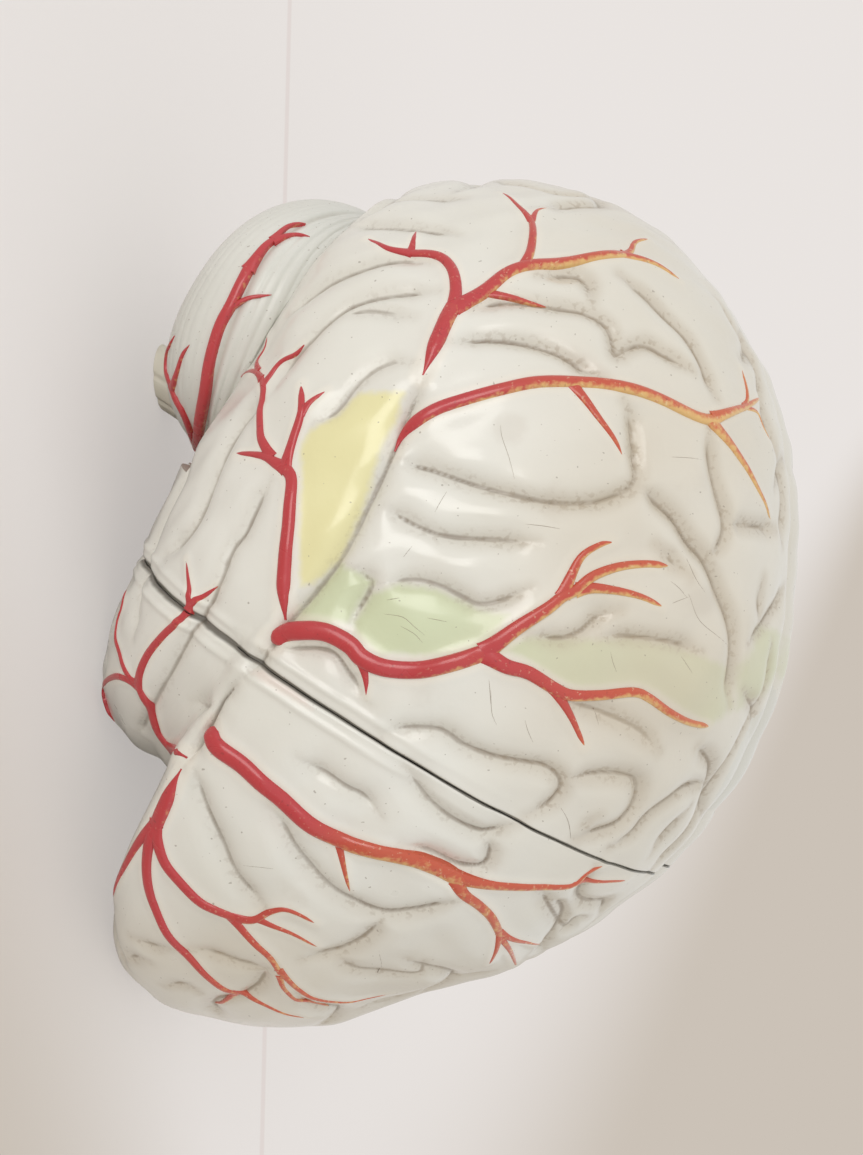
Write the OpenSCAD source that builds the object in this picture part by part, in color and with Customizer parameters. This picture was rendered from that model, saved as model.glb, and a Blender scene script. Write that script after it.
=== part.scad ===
// Life-size anatomical model of a human brain with its arteries, in cast plastic.
// X runs from the brain's right side (minus) to its left, Y from front (minus) to back, Z up.
// The origin is the middle of the resting face, under the centre of the whole model.

/* [Whole brain] */
// Length from the frontal pole to the occipital pole
brain_l = 170; // [155:1:185]
// Width over both hemispheres, without the arteries
brain_w = 138; // [126:1:150]
// Height from the resting face to the crown
brain_h = 133; // [124:1:142]
// Squareness of the dome, where 2 is an ellipsoid
dome_power = 2.25; // [2:0.05:2.6]
// Gap between the right and left halves
median_gap = 0.3; // [0.2:0.1:0.6]
// How far the crown edges roll down into the lengthwise fissure
fissure_roll = 4; // [2:0.5:6]
// Distance from the middle at which that roll begins
fissure_reach = 11; // [8:1:16]
// Depth of the hollow under the brain between the temporal lobes
base_hollow = 27; // [22:1:30]
// Half width of that hollow
hollow_reach = 30; // [26:1:36]

/* [Folds] */
// Depth of a groove between two folds
groove_depth = 2.4; // [1:0.1:3.5]
// Distance from the floor of a groove to the round of its fold
groove_reach = 5.5; // [4:0.5:8]
// Rings of facets from the side of a hemisphere to its rim
rings = 25; // [12:1:30]

/* [Arteries] */
// Width of the thickest artery trunk
trunk_w = 4.2; // [3:0.1:6]
// Height that a trunk stands over the folds, as a share of its width
artery_rise = 0.42; // [0.25:0.01:0.6]
// Depth of an artery's foot under the dome
artery_foot = 3.6; // [2:0.1:4.5]

/* [Parting of front and rear] */
// Place where the parting plane meets the resting face
seam_y = 16.8; // [14:0.1:20]
// Forward lean of the parting plane
seam_tilt = 33; // [30:1:36]
// Gap left in the parting
seam_gap = 0.3; // [0.2:0.1:0.6]

/* [Cerebellum] */
// Width over both cerebellar halves
cerebellum_w = 98; // [90:1:104]
// Half length along the sloping tent
cerebellum_l = 30.5; // [27:0.5:33]
// Half thickness across the tent
cerebellum_t = 20.5; // [18:0.5:22]
// Slope of the tent, the plane between the cerebellum and the hemisphere
tent_slope = 33; // [30:1:36]
// Height of the tent at its middle
tent_z = 44; // [42:0.5:46]
// Gap left between the tent and the cerebellum
tent_gap = 0.3; // [0.2:0.1:0.6]
// Depth of the cuts between the leaves
leaf_depth = 0.9; // [0.3:0.1:1.5]

/* [Brain stem] */
// Radius of the pons, the bulge in the middle of the stem
pons_r = 14; // [12:0.5:15]
// Radius of the midbrain, which enters the hemispheres
midbrain_r = 9; // [7:0.5:10]
// Radius of the cut lower end of the stem
medulla_r = 6; // [5:0.5:7]
// Height of the top of the stem above the tent
stem_top = 20; // [17:1:22]
// Height of the middle of the pons, under the tent
pons_drop = 9; // [7:0.5:12]
// Running gap round the stem
stem_gap = 0.35; // [0.3:0.05:0.6]
// Radius of the basilar artery
basilar_r = 1.7; // [1.2:0.1:2.2]

/* [Locating pegs] */
// Diameter of every peg
peg_d = 5; // [4:0.5:6]
// Length of a peg on each side of its joint
peg_reach = 12; // [8:0.5:14]
// Radial clearance of a peg in its hole
peg_fit = 0.06; // [0.03:0.01:0.1]

/* [Hidden] */

// Sizes at which the outline and the routes below were drawn
drawn_l = 170;
drawn_w = 138;
drawn_h = 133;
k_w = brain_w / drawn_w;
k_l = brain_l / drawn_l;
k_h = brain_h / drawn_h;

// Centre of the drawn side outline, and its radii: degrees from the front over the crown, then mm
centre_y = 5.3;
centre_z = 57.5;
outline = [
  [0, 84], [15, 80.5], [30, 77.5], [50, 76], [70, 76], [90, 76], [110, 80], [130, 84], [147, 86],
  [165, 83], [180, 78.5], [190, 71], [200, 61], [212, 54], [228, 50.5], [245, 49.5], [258, 51], [270, 55],
  [281, 61.5], [292, 66], [302, 65.5], [309, 62], [316, 67], [321, 93.5], [328, 100.5], [338, 97], [348, 92.5]
];
// Depth of the hollow under the brain round that outline, as a share of base_hollow
hollow_round = [
  [0, 0], [190, 0], [215, 0.2], [245, 0.75], [265, 0.95], [285, 1], [300, 1], [310, 0.6], [318, 0],
  [360, 0]
];

// The side picture on which the routes were drawn: its eye point, lean and scale in dots to the mm
eye_up = 15;
eye_forward = 4;
picture_roll = -1.1;
eye_distance = 430;
picture_scale = 4.85;
picture_mid = [431.5, 577.5];
picture_target = [0, 6.3, 59.5];

// Working values
half_w = drawn_w / 2;
inner_x = median_gap / 2;
hub_z = 41.5 * k_h;
hub_y = seam_y - tan(seam_tilt) * hub_z;
seam_n = [0, cos(seam_tilt), sin(seam_tilt)];
big = 400;
trim = 0.01;

// Smooth closed outline through the drawn radii, as [angle, radius] every few degrees
function tangent(i) =
  let (n = len(outline), p = outline[(i + n - 1) % n], q = outline[(i + 1) % n])
  (q[1] - p[1]) / ((q[0] - p[0] + 720) % 360);
function stretch(i, step) =
  let (n = len(outline), p = outline[i], q = outline[(i + 1) % n], h = (q[0] - p[0] + 360) % 360,
       m = ceil(h / step), a = tangent(i) * h, b = tangent((i + 1) % n) * h)
  [for (j = [0:m - 1]) let (u = j / m)
    [p[0] + u * h, p[1] * (2 * u * u * u - 3 * u * u + 1) + q[1] * (3 * u * u - 2 * u * u * u)
      + a * (u * u * u - 2 * u * u + u) + b * (u * u * u - u * u)]];
drawn_ring = [for (i = [0:len(outline) - 1]) each stretch(i, 3)];
drawn_table = concat(drawn_ring, [[360, drawn_ring[0][1]]]);

// Angle of a place in the side view, from the front over the crown, in 0 to 360
function turn(y, z) = (atan2(z, -y) + 360) % 360;

// Share of the outline's radius at which a drawn place lies, 0 in the middle and 1 on the outline
function share(y, z) =
  let (dy = y - centre_y, dz = z - centre_z) norm([dy, dz]) / lookup(turn(dy, dz), drawn_table);

// Distance of the dome from the middle plane over a real place in the side view
function dome_x(y, z) =
  let (q = share(y / k_l, z / k_h)) k_w * half_w * pow(max(0, 1 - pow(q, dome_power)), 1 / dome_power);

// The same outline at its real size, as radii round the hub of the facets
hub_ring = [for (p = drawn_ring)
  let (y = (centre_y - p[1] * cos(p[0])) * k_l - hub_y, z = (centre_z + p[1] * sin(p[0])) * k_h - hub_z)
  [turn(y, z), norm([y, z])]];
hub_table = concat(hub_ring,
  [for (p = hub_ring) if (p[0] > 300) [p[0] - 360, p[1]]],
  [for (p = hub_ring) if (p[0] < 60) [p[0] + 360, p[1]]]);

// A ray that meets the drawn dome: the value is below 0 inside it
function depth_at(p) = pow(abs(p[0]) / half_w, dome_power) + pow(share(p[1], p[2]), dome_power) - 1;
golden = 0.618;
function deepest(f, o, d, a, b, n) =
  let (c = b - (b - a) * golden, e = a + (b - a) * golden)
  n == 0 ? (a + b) / 2
    : f(o + d * c) < f(o + d * e) ? deepest(f, o, d, a, e, n - 1) : deepest(f, o, d, c, b, n - 1);
function crossing(f, o, d, a, b, n) =
  let (m = (a + b) / 2)
  n == 0 ? m : f(o + d * m) < 0 ? crossing(f, o, d, a, m, n - 1) : crossing(f, o, d, m, b, n - 1);
function meet(f, o, d, a, b) =
  let (e = deepest(f, o, d, a, b, 18), t = f(o + d * e) < 0 ? crossing(f, o, d, a, e, 16) : e, p = o + d * t)
  [p[0] * k_w, p[1] * k_l, p[2] * k_h];
dome_shape = function(p) depth_at(p);

// The cerebellum's drawn form, a flattened ball under the tent
cerebellum_power = 2.3;
drawn_tent = [0, 55.3, tent_z];
tent_y = drawn_tent[1] * k_l;
cerebellum_mid = [0, -6, -8];
cerebellum_shape = function(p)
  let (c = cos(tent_slope), s = sin(tent_slope), q = p - drawn_tent,
       y = q[1] * c + q[2] * s - cerebellum_mid[1], z = q[2] * c - q[1] * s - cerebellum_mid[2])
  pow(abs(q[0]) * 2 / cerebellum_w, cerebellum_power) + pow(abs(y) / cerebellum_l, cerebellum_power)
    + pow(abs(z) / cerebellum_t, cerebellum_power) - 1;

// Places on the dome: seen on the side picture, from above, from below, from the front and from behind
eye_dir = [cos(eye_up) * cos(eye_forward), cos(eye_up) * sin(eye_forward), -sin(eye_up)];
level_dir = [sin(eye_forward), -cos(eye_forward), 0];
rise_dir = cross(level_dir, eye_dir);
side_dir = level_dir * cos(picture_roll) + rise_dir * sin(picture_roll);
up_dir = rise_dir * cos(picture_roll) - level_dir * sin(picture_roll);
eye = picture_target - eye_dir * eye_distance;
// Part of a ray that is searched, and the places outside the brain where the rays start
ray_before = 110;
ray_beyond = 40;
ray_near = 40;
ray_far = 150;
sky = 200;
cellar = -60;
far_off = 150;
function from_side(q, f = dome_shape) =
  let (d = eye_dir * eye_distance + side_dir * (q[1] - picture_mid[1]) / picture_scale
             + up_dir * (q[0] - picture_mid[0]) / picture_scale,
       u = d / norm(d))
  meet(f, eye, u, eye_distance - ray_before, eye_distance + ray_beyond);
function from_above(q) = meet(dome_shape, [q[0], q[1], sky], [0, 0, -1], ray_near, ray_far);
function from_below(q) = meet(dome_shape, [q[0], q[1], cellar], [0, 0, 1], ray_near, ray_far);
function from_front(q) = meet(dome_shape, [q[0], -far_off, q[1]], [0, 1, 0], ray_near, ray_far);
function from_behind(q) = meet(dome_shape, [q[0], far_off, q[1]], [0, -1, 0], ray_near, ray_far);

// Grooves on the side picture: depth as a share of groove_depth, then the route
side_grooves = [
  [1.5, [[182, 767], [192, 750], [213, 709], [219, 698], [243, 678]]],
  [1.3, [[243, 678], [264, 655], [290, 620], [338, 560], [368, 502], [391, 453], [412, 402], [423, 377]]],
  [1, [[350, 226], [368, 222], [412, 224], [458, 234]]],
  [1, [[287, 316], [302, 298], [330, 277], [361, 265], [399, 258], [432, 261]]],
  [1, [[276, 384], [284, 364], [302, 344], [325, 321], [350, 303], [386, 293], [437, 289]]],
  [0.6, [[335, 318], [361, 310], [386, 310], [414, 316]]],
  [0.7, [[310, 425], [335, 410], [355, 384], [373, 369], [394, 361], [414, 364]]],
  [1, [[264, 402], [243, 418], [223, 453], [208, 486], [190, 527], [164, 554]]],
  [0.8, [[269, 479], [256, 504], [243, 532], [230, 550], [212, 596], [186, 640], [160, 690], [140, 735]]],
  [1.2, [[394, 460], [422, 466], [464, 480], [506, 492], [548, 501], [590, 502], [618, 495], [638, 480],
         [638, 446], [633, 418], [624, 401]]],
  [1.1, [[380, 506], [422, 528], [450, 536], [492, 539], [537, 542]]],
  [1, [[380, 584], [411, 579], [436, 584], [459, 595], [478, 604], [501, 601], [531, 588]]],
  [1, [[345, 565], [370, 582], [356, 612], [352, 632]]],
  [1, [[529, 635], [560, 639], [582, 632], [599, 618], [621, 611]]],
  [1, [[599, 637], [633, 637], [677, 643], [703, 653]]],
  [1.3, [[641, 483], [658, 500], [677, 517], [694, 542], [711, 564], [728, 604], [736, 635], [736, 668],
         [732, 705]]],
  [1.2, [[711, 429], [714, 455], [722, 491], [729, 522], [725, 544], [711, 558]]],
  [1, [[729, 526], [753, 525], [778, 530]]],
  [1.2, [[450, 342], [487, 337], [526, 340], [560, 351], [588, 368], [604, 376]]],
  [1, [[470, 309], [503, 300], [565, 306], [593, 314], [613, 328], [618, 354], [624, 348], [647, 342],
       [669, 354], [694, 370]]],
  [0.8, [[537, 275], [576, 272], [589, 283], [593, 303]]],
  [1, [[621, 275], [649, 295], [683, 328], [705, 362], [717, 398]]],
  [0.6, [[380, 202], [419, 195], [464, 198]]],
  [1, [[271, 650], [325, 650], [348, 673], [366, 704]]],
  [1, [[380, 736], [397, 730], [422, 729], [444, 733], [464, 747], [492, 758], [526, 764], [548, 769],
       [562, 781], [560, 795], [546, 809], [526, 818]]],
  [1, [[565, 781], [593, 776], [627, 778], [641, 786], [638, 806], [621, 825], [599, 834], [576, 841]]],
  [1, [[610, 848], [633, 837], [649, 820], [669, 803], [689, 789], [711, 786]]],
  [0.8, [[652, 856], [672, 831], [691, 806]]],
  [0.9, [[195, 768], [200, 796], [213, 827], [228, 863], [243, 886], [264, 909]]],
  [1, [[269, 809], [284, 830], [299, 855], [322, 881], [348, 901], [381, 915], [412, 914], [442, 906],
       [458, 899]]],
  [0.8, [[384, 919], [368, 937], [348, 950], [330, 956], [302, 961]]],
  [0.7, [[190, 950], [218, 957], [243, 965], [274, 971]]],
  [0.7, [[131, 937], [151, 947], [172, 948]]],
  [0.6, [[335, 958], [361, 971], [419, 975], [424, 962]]],
  [1, [[297, 760], [322, 773], [345, 788], [363, 798], [380, 817]]],
  [1, [[405, 767], [425, 797], [447, 817], [473, 831], [489, 834], [517, 825]]],
  [1, [[489, 835], [491, 854], [484, 868], [459, 868], [430, 854], [402, 845]]],
  [0.8, [[540, 890], [565, 929], [576, 921], [590, 918]]],
  [0.6, [[190, 702], [208, 704], [219, 702]]]
];
// Grooves out of that picture's sight, in mm: across and along from above and below,
// across and up from the front and from behind
top_grooves = [
  [1, [[-10, -62], [-22, -58], [-34, -50]]], [1, [[-9, -40], [-20, -36], [-31, -27]]],
  [1, [[-9, 2], [-18, -2], [-26, -10]]], [1, [[-9, 26], [-20, 22]]], [0.9, [[-9, 52], [-22, 46]]]
];
base_grooves = [
  [1, [[-40, -14], [-36, 2], [-34, 20], [-30, 36]]], [1, [[-54, -8], [-50, 12], [-44, 30]]],
  [1, [[-16, -40], [-18, -56], [-16, -72]]], [0.9, [[-28, -44], [-40, -56], [-30, -70]]]
];
front_grooves = [
  [1, [[-12, 40], [-24, 46], [-36, 44]]], [1, [[-10, 62], [-22, 68], [-36, 66]]],
  [1, [[-10, 86], [-22, 90], [-34, 92]]], [0.8, [[-22, 22], [-34, 28], [-44, 40]]]
];
back_grooves = [
  [1, [[-10, 72], [-22, 76], [-34, 72]]], [1, [[-10, 94], [-24, 98], [-36, 94]]],
  [0.9, [[-14, 58], [-28, 60], [-40, 56]]]
];

// Arteries on the side picture: width at the start and at the tip as shares of trunk_w, then the route
arteries = [
  // Middle artery at the Sylvian fissure
  [1, 0.8, [[274, 640], [289, 632], [325, 632], [350, 645], [363, 658], [386, 668], [419, 670], [452, 663],
            [484, 653]]],
  [0.8, 0.3, [[484, 653], [520, 626], [562, 597], [593, 576], [647, 564], [669, 566]]],
  [0.6, 0.2, [[562, 597], [582, 556], [613, 542]]],
  [0.6, 0.2, [[593, 588], [641, 597], [663, 607]]],
  [0.7, 0.3, [[484, 653], [506, 666], [554, 688], [571, 695], [633, 692], [669, 712], [708, 726]]],
  [0.5, 0.2, [[560, 694], [581, 738], [585, 747]]],
  [0.5, 0.15, [[363, 665], [366, 696]]],
  // Temporal branch
  [0.7, 0.6, [[283, 622], [284, 576], [290, 520], [292, 481], [284, 466]]],
  [0.6, 0.2, [[284, 466], [266, 457], [236, 454]]],
  [0.5, 0.3, [[267, 453], [262, 410], [262, 377]]],
  [0.4, 0.15, [[262, 377], [241, 377]]],
  [0.4, 0.15, [[257, 361], [269, 335]]],
  [0.5, 0.15, [[262, 385], [279, 361], [301, 342]]],
  [0.6, 0.3, [[285, 464], [294, 438], [303, 407], [302, 386]]],
  [0.4, 0.15, [[303, 407], [328, 390]]],
  // Rear branch
  [0.8, 0.8, [[423, 375], [436, 345], [454, 306]]],
  [0.7, 0.4, [[454, 306], [456, 286], [442, 258], [409, 251]]],
  [0.4, 0.15, [[409, 251], [366, 238]]],
  [0.4, 0.15, [[412, 249], [416, 230]]],
  [0.8, 0.5, [[454, 306], [487, 289], [523, 268], [576, 260], [627, 255]]],
  [0.5, 0.2, [[627, 255], [661, 269], [680, 281]]],
  [0.4, 0.15, [[627, 255], [648, 241]]],
  [0.5, 0.3, [[526, 265], [533, 230], [530, 217]]],
  [0.3, 0.15, [[530, 217], [501, 193]]],
  [0.3, 0.15, [[530, 217], [548, 207]]],
  [0.4, 0.15, [[489, 292], [548, 303]]],
  // Crown branch
  [0.7, 0.8, [[393, 449], [416, 421], [473, 397], [537, 383], [599, 383], [655, 398], [717, 417]]],
  [0.7, 0.2, [[717, 417], [745, 407], [760, 398]]],
  [0.4, 0.15, [[746, 401], [742, 368]]],
  [0.6, 0.2, [[720, 424], [748, 471], [773, 519]]],
  [0.5, 0.2, [[574, 386], [602, 424], [623, 455]]],
  // Frontal branch
  [0.9, 0.8, [[210, 730], [218, 747], [269, 788], [322, 831], [373, 849], [437, 869], [462, 884]]],
  [0.7, 0.2, [[462, 882], [534, 886], [588, 873], [604, 865]]],
  [0.3, 0.15, [[582, 880], [627, 879]]],
  [0.6, 0.4, [[462, 886], [492, 918], [501, 936]]],
  [0.4, 0.15, [[501, 936], [488, 963]]],
  [0.4, 0.15, [[501, 936], [541, 946]]],
  [0.4, 0.15, [[338, 840], [350, 892]]],
  // Lower frontal artery
  [0.8, 0.8, [[181, 769], [169, 798], [156, 830]]],
  [0.6, 0.2, [[156, 830], [134, 853], [114, 899]]],
  [0.7, 0.4, [[156, 830], [148, 868], [162, 921], [195, 962], [236, 997]]],
  [0.4, 0.15, [[236, 997], [284, 1012], [307, 1017]]],
  [0.3, 0.15, [[236, 997], [214, 1007]]],
  [0.7, 0.5, [[156, 830], [182, 883], [218, 909], [238, 920]]],
  [0.5, 0.2, [[238, 920], [284, 909], [317, 923]]],
  [0.4, 0.2, [[238, 920], [256, 942], [281, 973]]],
  [0.4, 0.15, [[281, 973], [317, 998], [391, 993]]],
  // Temporal pole artery
  [0.7, 0.5, [[185, 758], [169, 744], [141, 693], [137, 678]]],
  [0.5, 0.3, [[137, 678], [164, 635], [191, 602]]],
  [0.3, 0.15, [[191, 602], [187, 559]]],
  [0.3, 0.15, [[191, 602], [215, 586]]],
  [0.4, 0.2, [[137, 678], [118, 650], [119, 622]]],
  [0.4, 0.2, [[137, 678], [108, 685], [108, 709]]]
];
cerebellum_arteries = [
  [0.7, 0.6, [[198, 446], [205, 393], [214, 345], [231, 305], [250, 266]]],
  [0.6, 0.2, [[250, 266], [276, 238], [300, 226]]],
  [0.4, 0.15, [[224, 317], [250, 298], [272, 295]]],
  [0.5, 0.2, [[196, 446], [186, 417], [172, 386]]]
];

// Inward shift of the dome's skin towards the hub: the fissure roll and the hollow under the base
function ease(u) = let (c = max(0, min(1, u))) c * c * (3 - 2 * c);
function inset(x, y, z) =
  let (a = turn(y / k_l - centre_y, z / k_h - centre_z), roll = max(0, 1 - x / fissure_reach))
  fissure_roll * roll * roll + base_hollow * lookup(a, hollow_round) * ease(1 - x / hollow_reach);
function settled(p) =
  let (d = [p[1] - hub_y, p[2] - hub_z], r = norm(d), s = r < 1 ? 1 : 1 - inset(abs(p[0]), p[1], p[2]) / r)
  [p[0], hub_y + d[0] * s, hub_z + d[1] * s];

// Outward normal of a drawn form at a real place on it
function shape_normal(f, p) =
  let (q = [p[0] / k_w, p[1] / k_l, p[2] / k_h], e = 0.5, w = f(q),
       v = [f(q + [e, 0, 0]) - w, f(q + [0, e, 0]) - w, f(q + [0, 0, e]) - w])
  v / norm(v);

// All grooves as routes on the dome, each with its own box
function box_low(p) = [for (a = [0:2]) min([for (q = p) q[a]]) - groove_reach];
function box_high(p) = [for (a = [0:2]) max([for (q = p) q[a]]) + groove_reach];
function boxed(s, p) = [s, p, box_low(p), box_high(p)];
grooves = concat(
  [for (g = side_grooves) boxed(g[0], [for (q = g[1]) from_side(q)])],
  [for (g = top_grooves) boxed(g[0], [for (q = g[1]) from_above(q)])],
  [for (g = base_grooves) boxed(g[0], [for (q = g[1]) from_below(q)])],
  [for (g = front_grooves) boxed(g[0], [for (q = g[1]) from_front(q)])],
  [for (g = back_grooves) boxed(g[0], [for (q = g[1]) from_behind(q)])]
);
function in_box(p, g) =
  p[0] > g[2][0] && p[1] > g[2][1] && p[2] > g[2][2] && p[0] < g[3][0] && p[1] < g[3][1] && p[2] < g[3][2];
function on_line(p, a, b) = let (d = b - a) a + d * max(0, min(1, (p - a) * d / (d * d)));
// Nearest groove to a place, as distance, place on the groove and its depth
function nearest_groove(p) =
  let (c = [for (g = grooves) if (in_box(p, g)) for (j = [0:len(g[1]) - 2])
             let (n = on_line(p, g[1][j], g[1][j + 1])) [norm(p - n), n, g[0]]],
       m = min(concat([groove_reach], [for (e = c) e[0]])), w = [for (e = c) if (e[0] == m) e])
  len(w) == 0 ? [groove_reach, p, 0] : w[0];
function groove_fall(d, s) =
  let (u = 1 - min(1, d / groove_reach)) groove_depth * s * (1 - sqrt(1 - u * u));

// Corners nearer than snap_near move onto a groove, those up to snap_far follow in part,
// and the inset grows over the rings round the hub
snap_near = 1.1;
snap_far = 3.2;
hub_rings = 4;
// One corner of the facets: ring i from the side of the hemisphere to its rim, at an angle round the hub
function across(i, psi) =
  let (r = pow(sin(90 * i / rings), 2 / dome_power) * lookup(psi, hub_table))
  [r, dome_x(hub_y - r * cos(psi), hub_z + r * sin(psi))];
function corner(i, psi, on_seam) =
  let (c = across(i, psi), a = across(max(0, i - 0.5), psi), b = across(min(rings, i + 0.5), psi),
       t = b - a, n = i == 0 ? [0, 1] : i == rings ? [1, 0] : [-t[1], t[0]] / norm(t),
       p = [-c[1], hub_y - c[0] * cos(psi), hub_z + c[0] * sin(psi)],
       g = nearest_groove(p),
       loose = i == 0 || i == rings || on_seam,
       pull = loose || g[0] > snap_far ? g[0] : max(0, g[0] - snap_near) * snap_far / (snap_far - snap_near),
       move = loose || g[0] < 0.01 ? [0, 0, 0] : (g[1] - p) * (1 - pull / g[0]),
       fall = groove_fall(pull, g[2]),
       r = c[0] - fall * n[0] - inset(c[1], p[1], p[2]) * min(1, i / hub_rings), x = c[1] - fall * n[1])
  [-(i == rings ? inner_x : max(inner_x, x + inner_x)), hub_y - r * cos(psi), hub_z + r * sin(psi)] + move;

// Sectors of facets in the half turn, each one facet longer with every ring
sectors = 3;

// Half of a hemisphere as one closed skin, from the angle `start` through 180 degrees round the hub,
// with its flat face on the parting plane and its flat face on the middle plane
module dome_half(start, side) {
  shift = seam_n * (side * seam_gap / 2);
  function first(i) = i == 0 ? 0 : i + sectors * i * (i - 1) / 2;
  skin = [for (i = [0:rings]) for (k = [0:sectors * i])
    let (edge = k == 0 || k == sectors * i)
    corner(i, start + (i == 0 ? 0 : 180 * k / (sectors * i)), edge) + (edge ? shift : [0, 0, 0])];
  facets = [for (i = [1:rings]) for (s = [0:sectors - 1]) for (j = [0:i - 1]) each
    let (a = first(i) + s * i + j, c = first(i - 1) + s * (i - 1) + j)
    concat([[a, c, a + 1]], j < i - 1 ? [[a + 1, c, c + 1]] : [])];
  parting = concat([for (i = [rings:-1:1]) first(i) + sectors * i], [for (i = [0:rings]) first(i)]);
  middle = [for (k = [0:sectors * rings]) first(rings) + k];
  polyhedron(points = skin, faces = concat(facets, [parting], [middle]), convexity = 12);
}
seam_up = 90 - seam_tilt;
module front_dome() { dome_half(seam_up - 180, -1); }
module rear_dome() { dome_half(seam_up, 1); }

// An artery in relief: a ridge of three edges along a route on the dome, thinner towards its tip
artery_splay = 0.6;
function step_along(p, i) = let (d = p[min(len(p) - 1, i + 1)] - p[max(0, i - 1)]) d / norm(d);
module artery(a, f = dome_shape) {
  path = [for (q = a[2]) let (p = from_side(q, f)) (f == dome_shape ? settled(p) : p) - [inner_x, 0, 0]];
  n = len(path);
  edges = [for (i = [0:n - 1]) let (
      w = trunk_w * (a[0] + (a[1] - a[0]) * i / (n - 1)),
      up = shape_normal(f, path[i]), t = step_along(path, i), c = cross(up, t), s = c / norm(c),
      half = w / 2 + artery_splay * artery_foot)
    each [path[i] - up * artery_foot - s * half, path[i] - up * artery_foot + s * half,
          path[i] + up * w * artery_rise]];
  sides = [for (i = [0:n - 2]) for (e = [0:2])
    let (g = (e + 1) % 3, j = 3 * i) each [[j + e, j + 3 + g, j + g], [j + e, j + 3 + e, j + 3 + g]]];
  polyhedron(points = edges, faces = concat(sides, [[0, 1, 2]], [[3 * n - 1, 3 * n - 2, 3 * n - 3]]),
             convexity = 8);
}
// Distance of a route's ends from the parting, to the rear
function seam_side(p) = (p - [0, hub_y, hub_z]) * seam_n;
function reaches(a, side) = max([for (q = a[2]) seam_side(from_side(q)) * side]) > 0;
module half_space(side) {
  translate([0, hub_y, hub_z]) rotate([seam_tilt, 0, 0])
    translate([-big / 2, side > 0 ? seam_gap / 2 : -big - seam_gap / 2, -big / 2]) cube(big);
}
module artery_relief(side) {
  intersection() {
    union() { for (a = arteries) if (reaches(a, side)) artery(a); }
    half_space(side);
  }
}

// The tent's own frame: its plane is the seat of the cerebellum,
// and everything under it slides out square to it
module at_tent() { translate([0, tent_y, tent_z]) rotate([tent_slope, 0, 0]) children(); }
// The cut stops just before the front of the cerebellum, and the stem stands near it
tent_front = -37.3 * k_l;
stem_back = -28 * k_l;
module at_stem() { at_tent() translate([0, stem_back, 0]) children(); }

// Peg places: across and up on the parting, along and up on the middle plane, across and along on the tent
upper_peg = [-30 * k_w, 58 * k_h];
lower_peg = [-42 * k_w, 21 * k_h];
crown_peg = [2 * k_l, 103 * k_h];
rear_peg = [44 * k_l, 70 * k_h];
cerebellum_peg = [-24 * k_w, -8 * k_l];
stem_peg_x = -4.2;
// The stem's peg is shorter and thinner than the others
stem_peg_reach = peg_reach * 3 / 4;
stem_peg_d = peg_d * 4 / 5;
peg_facets = 48;
module on_seam(p) {
  y = hub_y - tan(seam_tilt) * (p[1] - hub_z);
  translate([p[0], y, p[1]]) rotate([seam_tilt - 90, 0, 0]) children();
}
module on_middle(p) { translate([0, p[0], p[1]]) rotate([0, 90, 0]) children(); }
module on_tent() { at_tent() translate([cerebellum_peg[0], cerebellum_peg[1], 0]) children(); }
module on_stem() { at_stem() translate([stem_peg_x, 0, stem_top]) children(); }
module peg(gap = 0) { cylinder(r = peg_d / 2 + gap, h = 2 * peg_reach, center = true, $fn = peg_facets); }
module stem_peg(gap = 0) {
  cylinder(r = stem_peg_d / 2 + gap, h = 2 * stem_peg_reach, center = true, $fn = peg_facets);
}
module mirrored() { mirror([1, 0, 0]) children(); }
module below_floor() { translate([-big / 2, -big / 2, -big]) cube(big); }

// Brain stem: a turned form, wide at the pons, that slides up into its pocket
stem_facets = 64;
pons_half = 8;
pons_shoulder = pons_r - 3.5;
pons_cheek = pons_r - 0.8;
stem_end = -50;
stem_profile = [
  [stem_end, medulla_r], [-pons_drop - 2 * pons_half, medulla_r], [-pons_drop - pons_half, pons_shoulder],
  [-pons_drop - pons_half / 2, pons_cheek], [-pons_drop, pons_r], [-pons_drop + pons_half / 2, pons_cheek],
  [-pons_drop + pons_half, pons_shoulder], [trim, midbrain_r], [stem_top, midbrain_r]
];
module stem_form() {
  at_stem() rotate_extrude($fn = stem_facets)
    polygon(concat([[0, stem_end]], [for (p = stem_profile) [p[1], p[0]]], [[0, stem_top]]));
}
module pons_room() {
  at_stem() translate([0, 0, -big / 2])
    cylinder(r = pons_r + stem_gap, h = big / 2 + stem_gap, $fn = stem_facets);
}
module midbrain_room() {
  at_stem() translate([0, 0, -big / 4])
    cylinder(r = midbrain_r + stem_gap, h = big / 4 + stem_top, $fn = stem_facets);
}

// Everything under the tent is cut from the hemisphere, leaving a flat seat for the cerebellum
module under_tent() { at_tent() translate([-big / 2, tent_front, -big]) cube(big); }

module right_rear_hemisphere() {
  color("ivory") difference() {
    union() { rear_dome(); artery_relief(1); }
    under_tent();
    pons_room();
    midbrain_room();
    on_seam(upper_peg) peg(peg_fit);
    on_seam(lower_peg) peg(peg_fit);
    on_middle(crown_peg) peg(peg_fit);
    on_middle(rear_peg) peg(peg_fit);
    on_tent() peg(peg_fit);
    on_stem() stem_peg(peg_fit);
    below_floor();
  }
}
module right_front_lobe() {
  color("ivory") difference() {
    union() { front_dome(); artery_relief(-1); }
    on_seam(upper_peg) peg(peg_fit);
    on_seam(lower_peg) peg(peg_fit);
    below_floor();
  }
}
module left_rear_hemisphere() { mirrored() right_rear_hemisphere(); }
module left_front_lobe() { mirrored() right_front_lobe(); }

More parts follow.
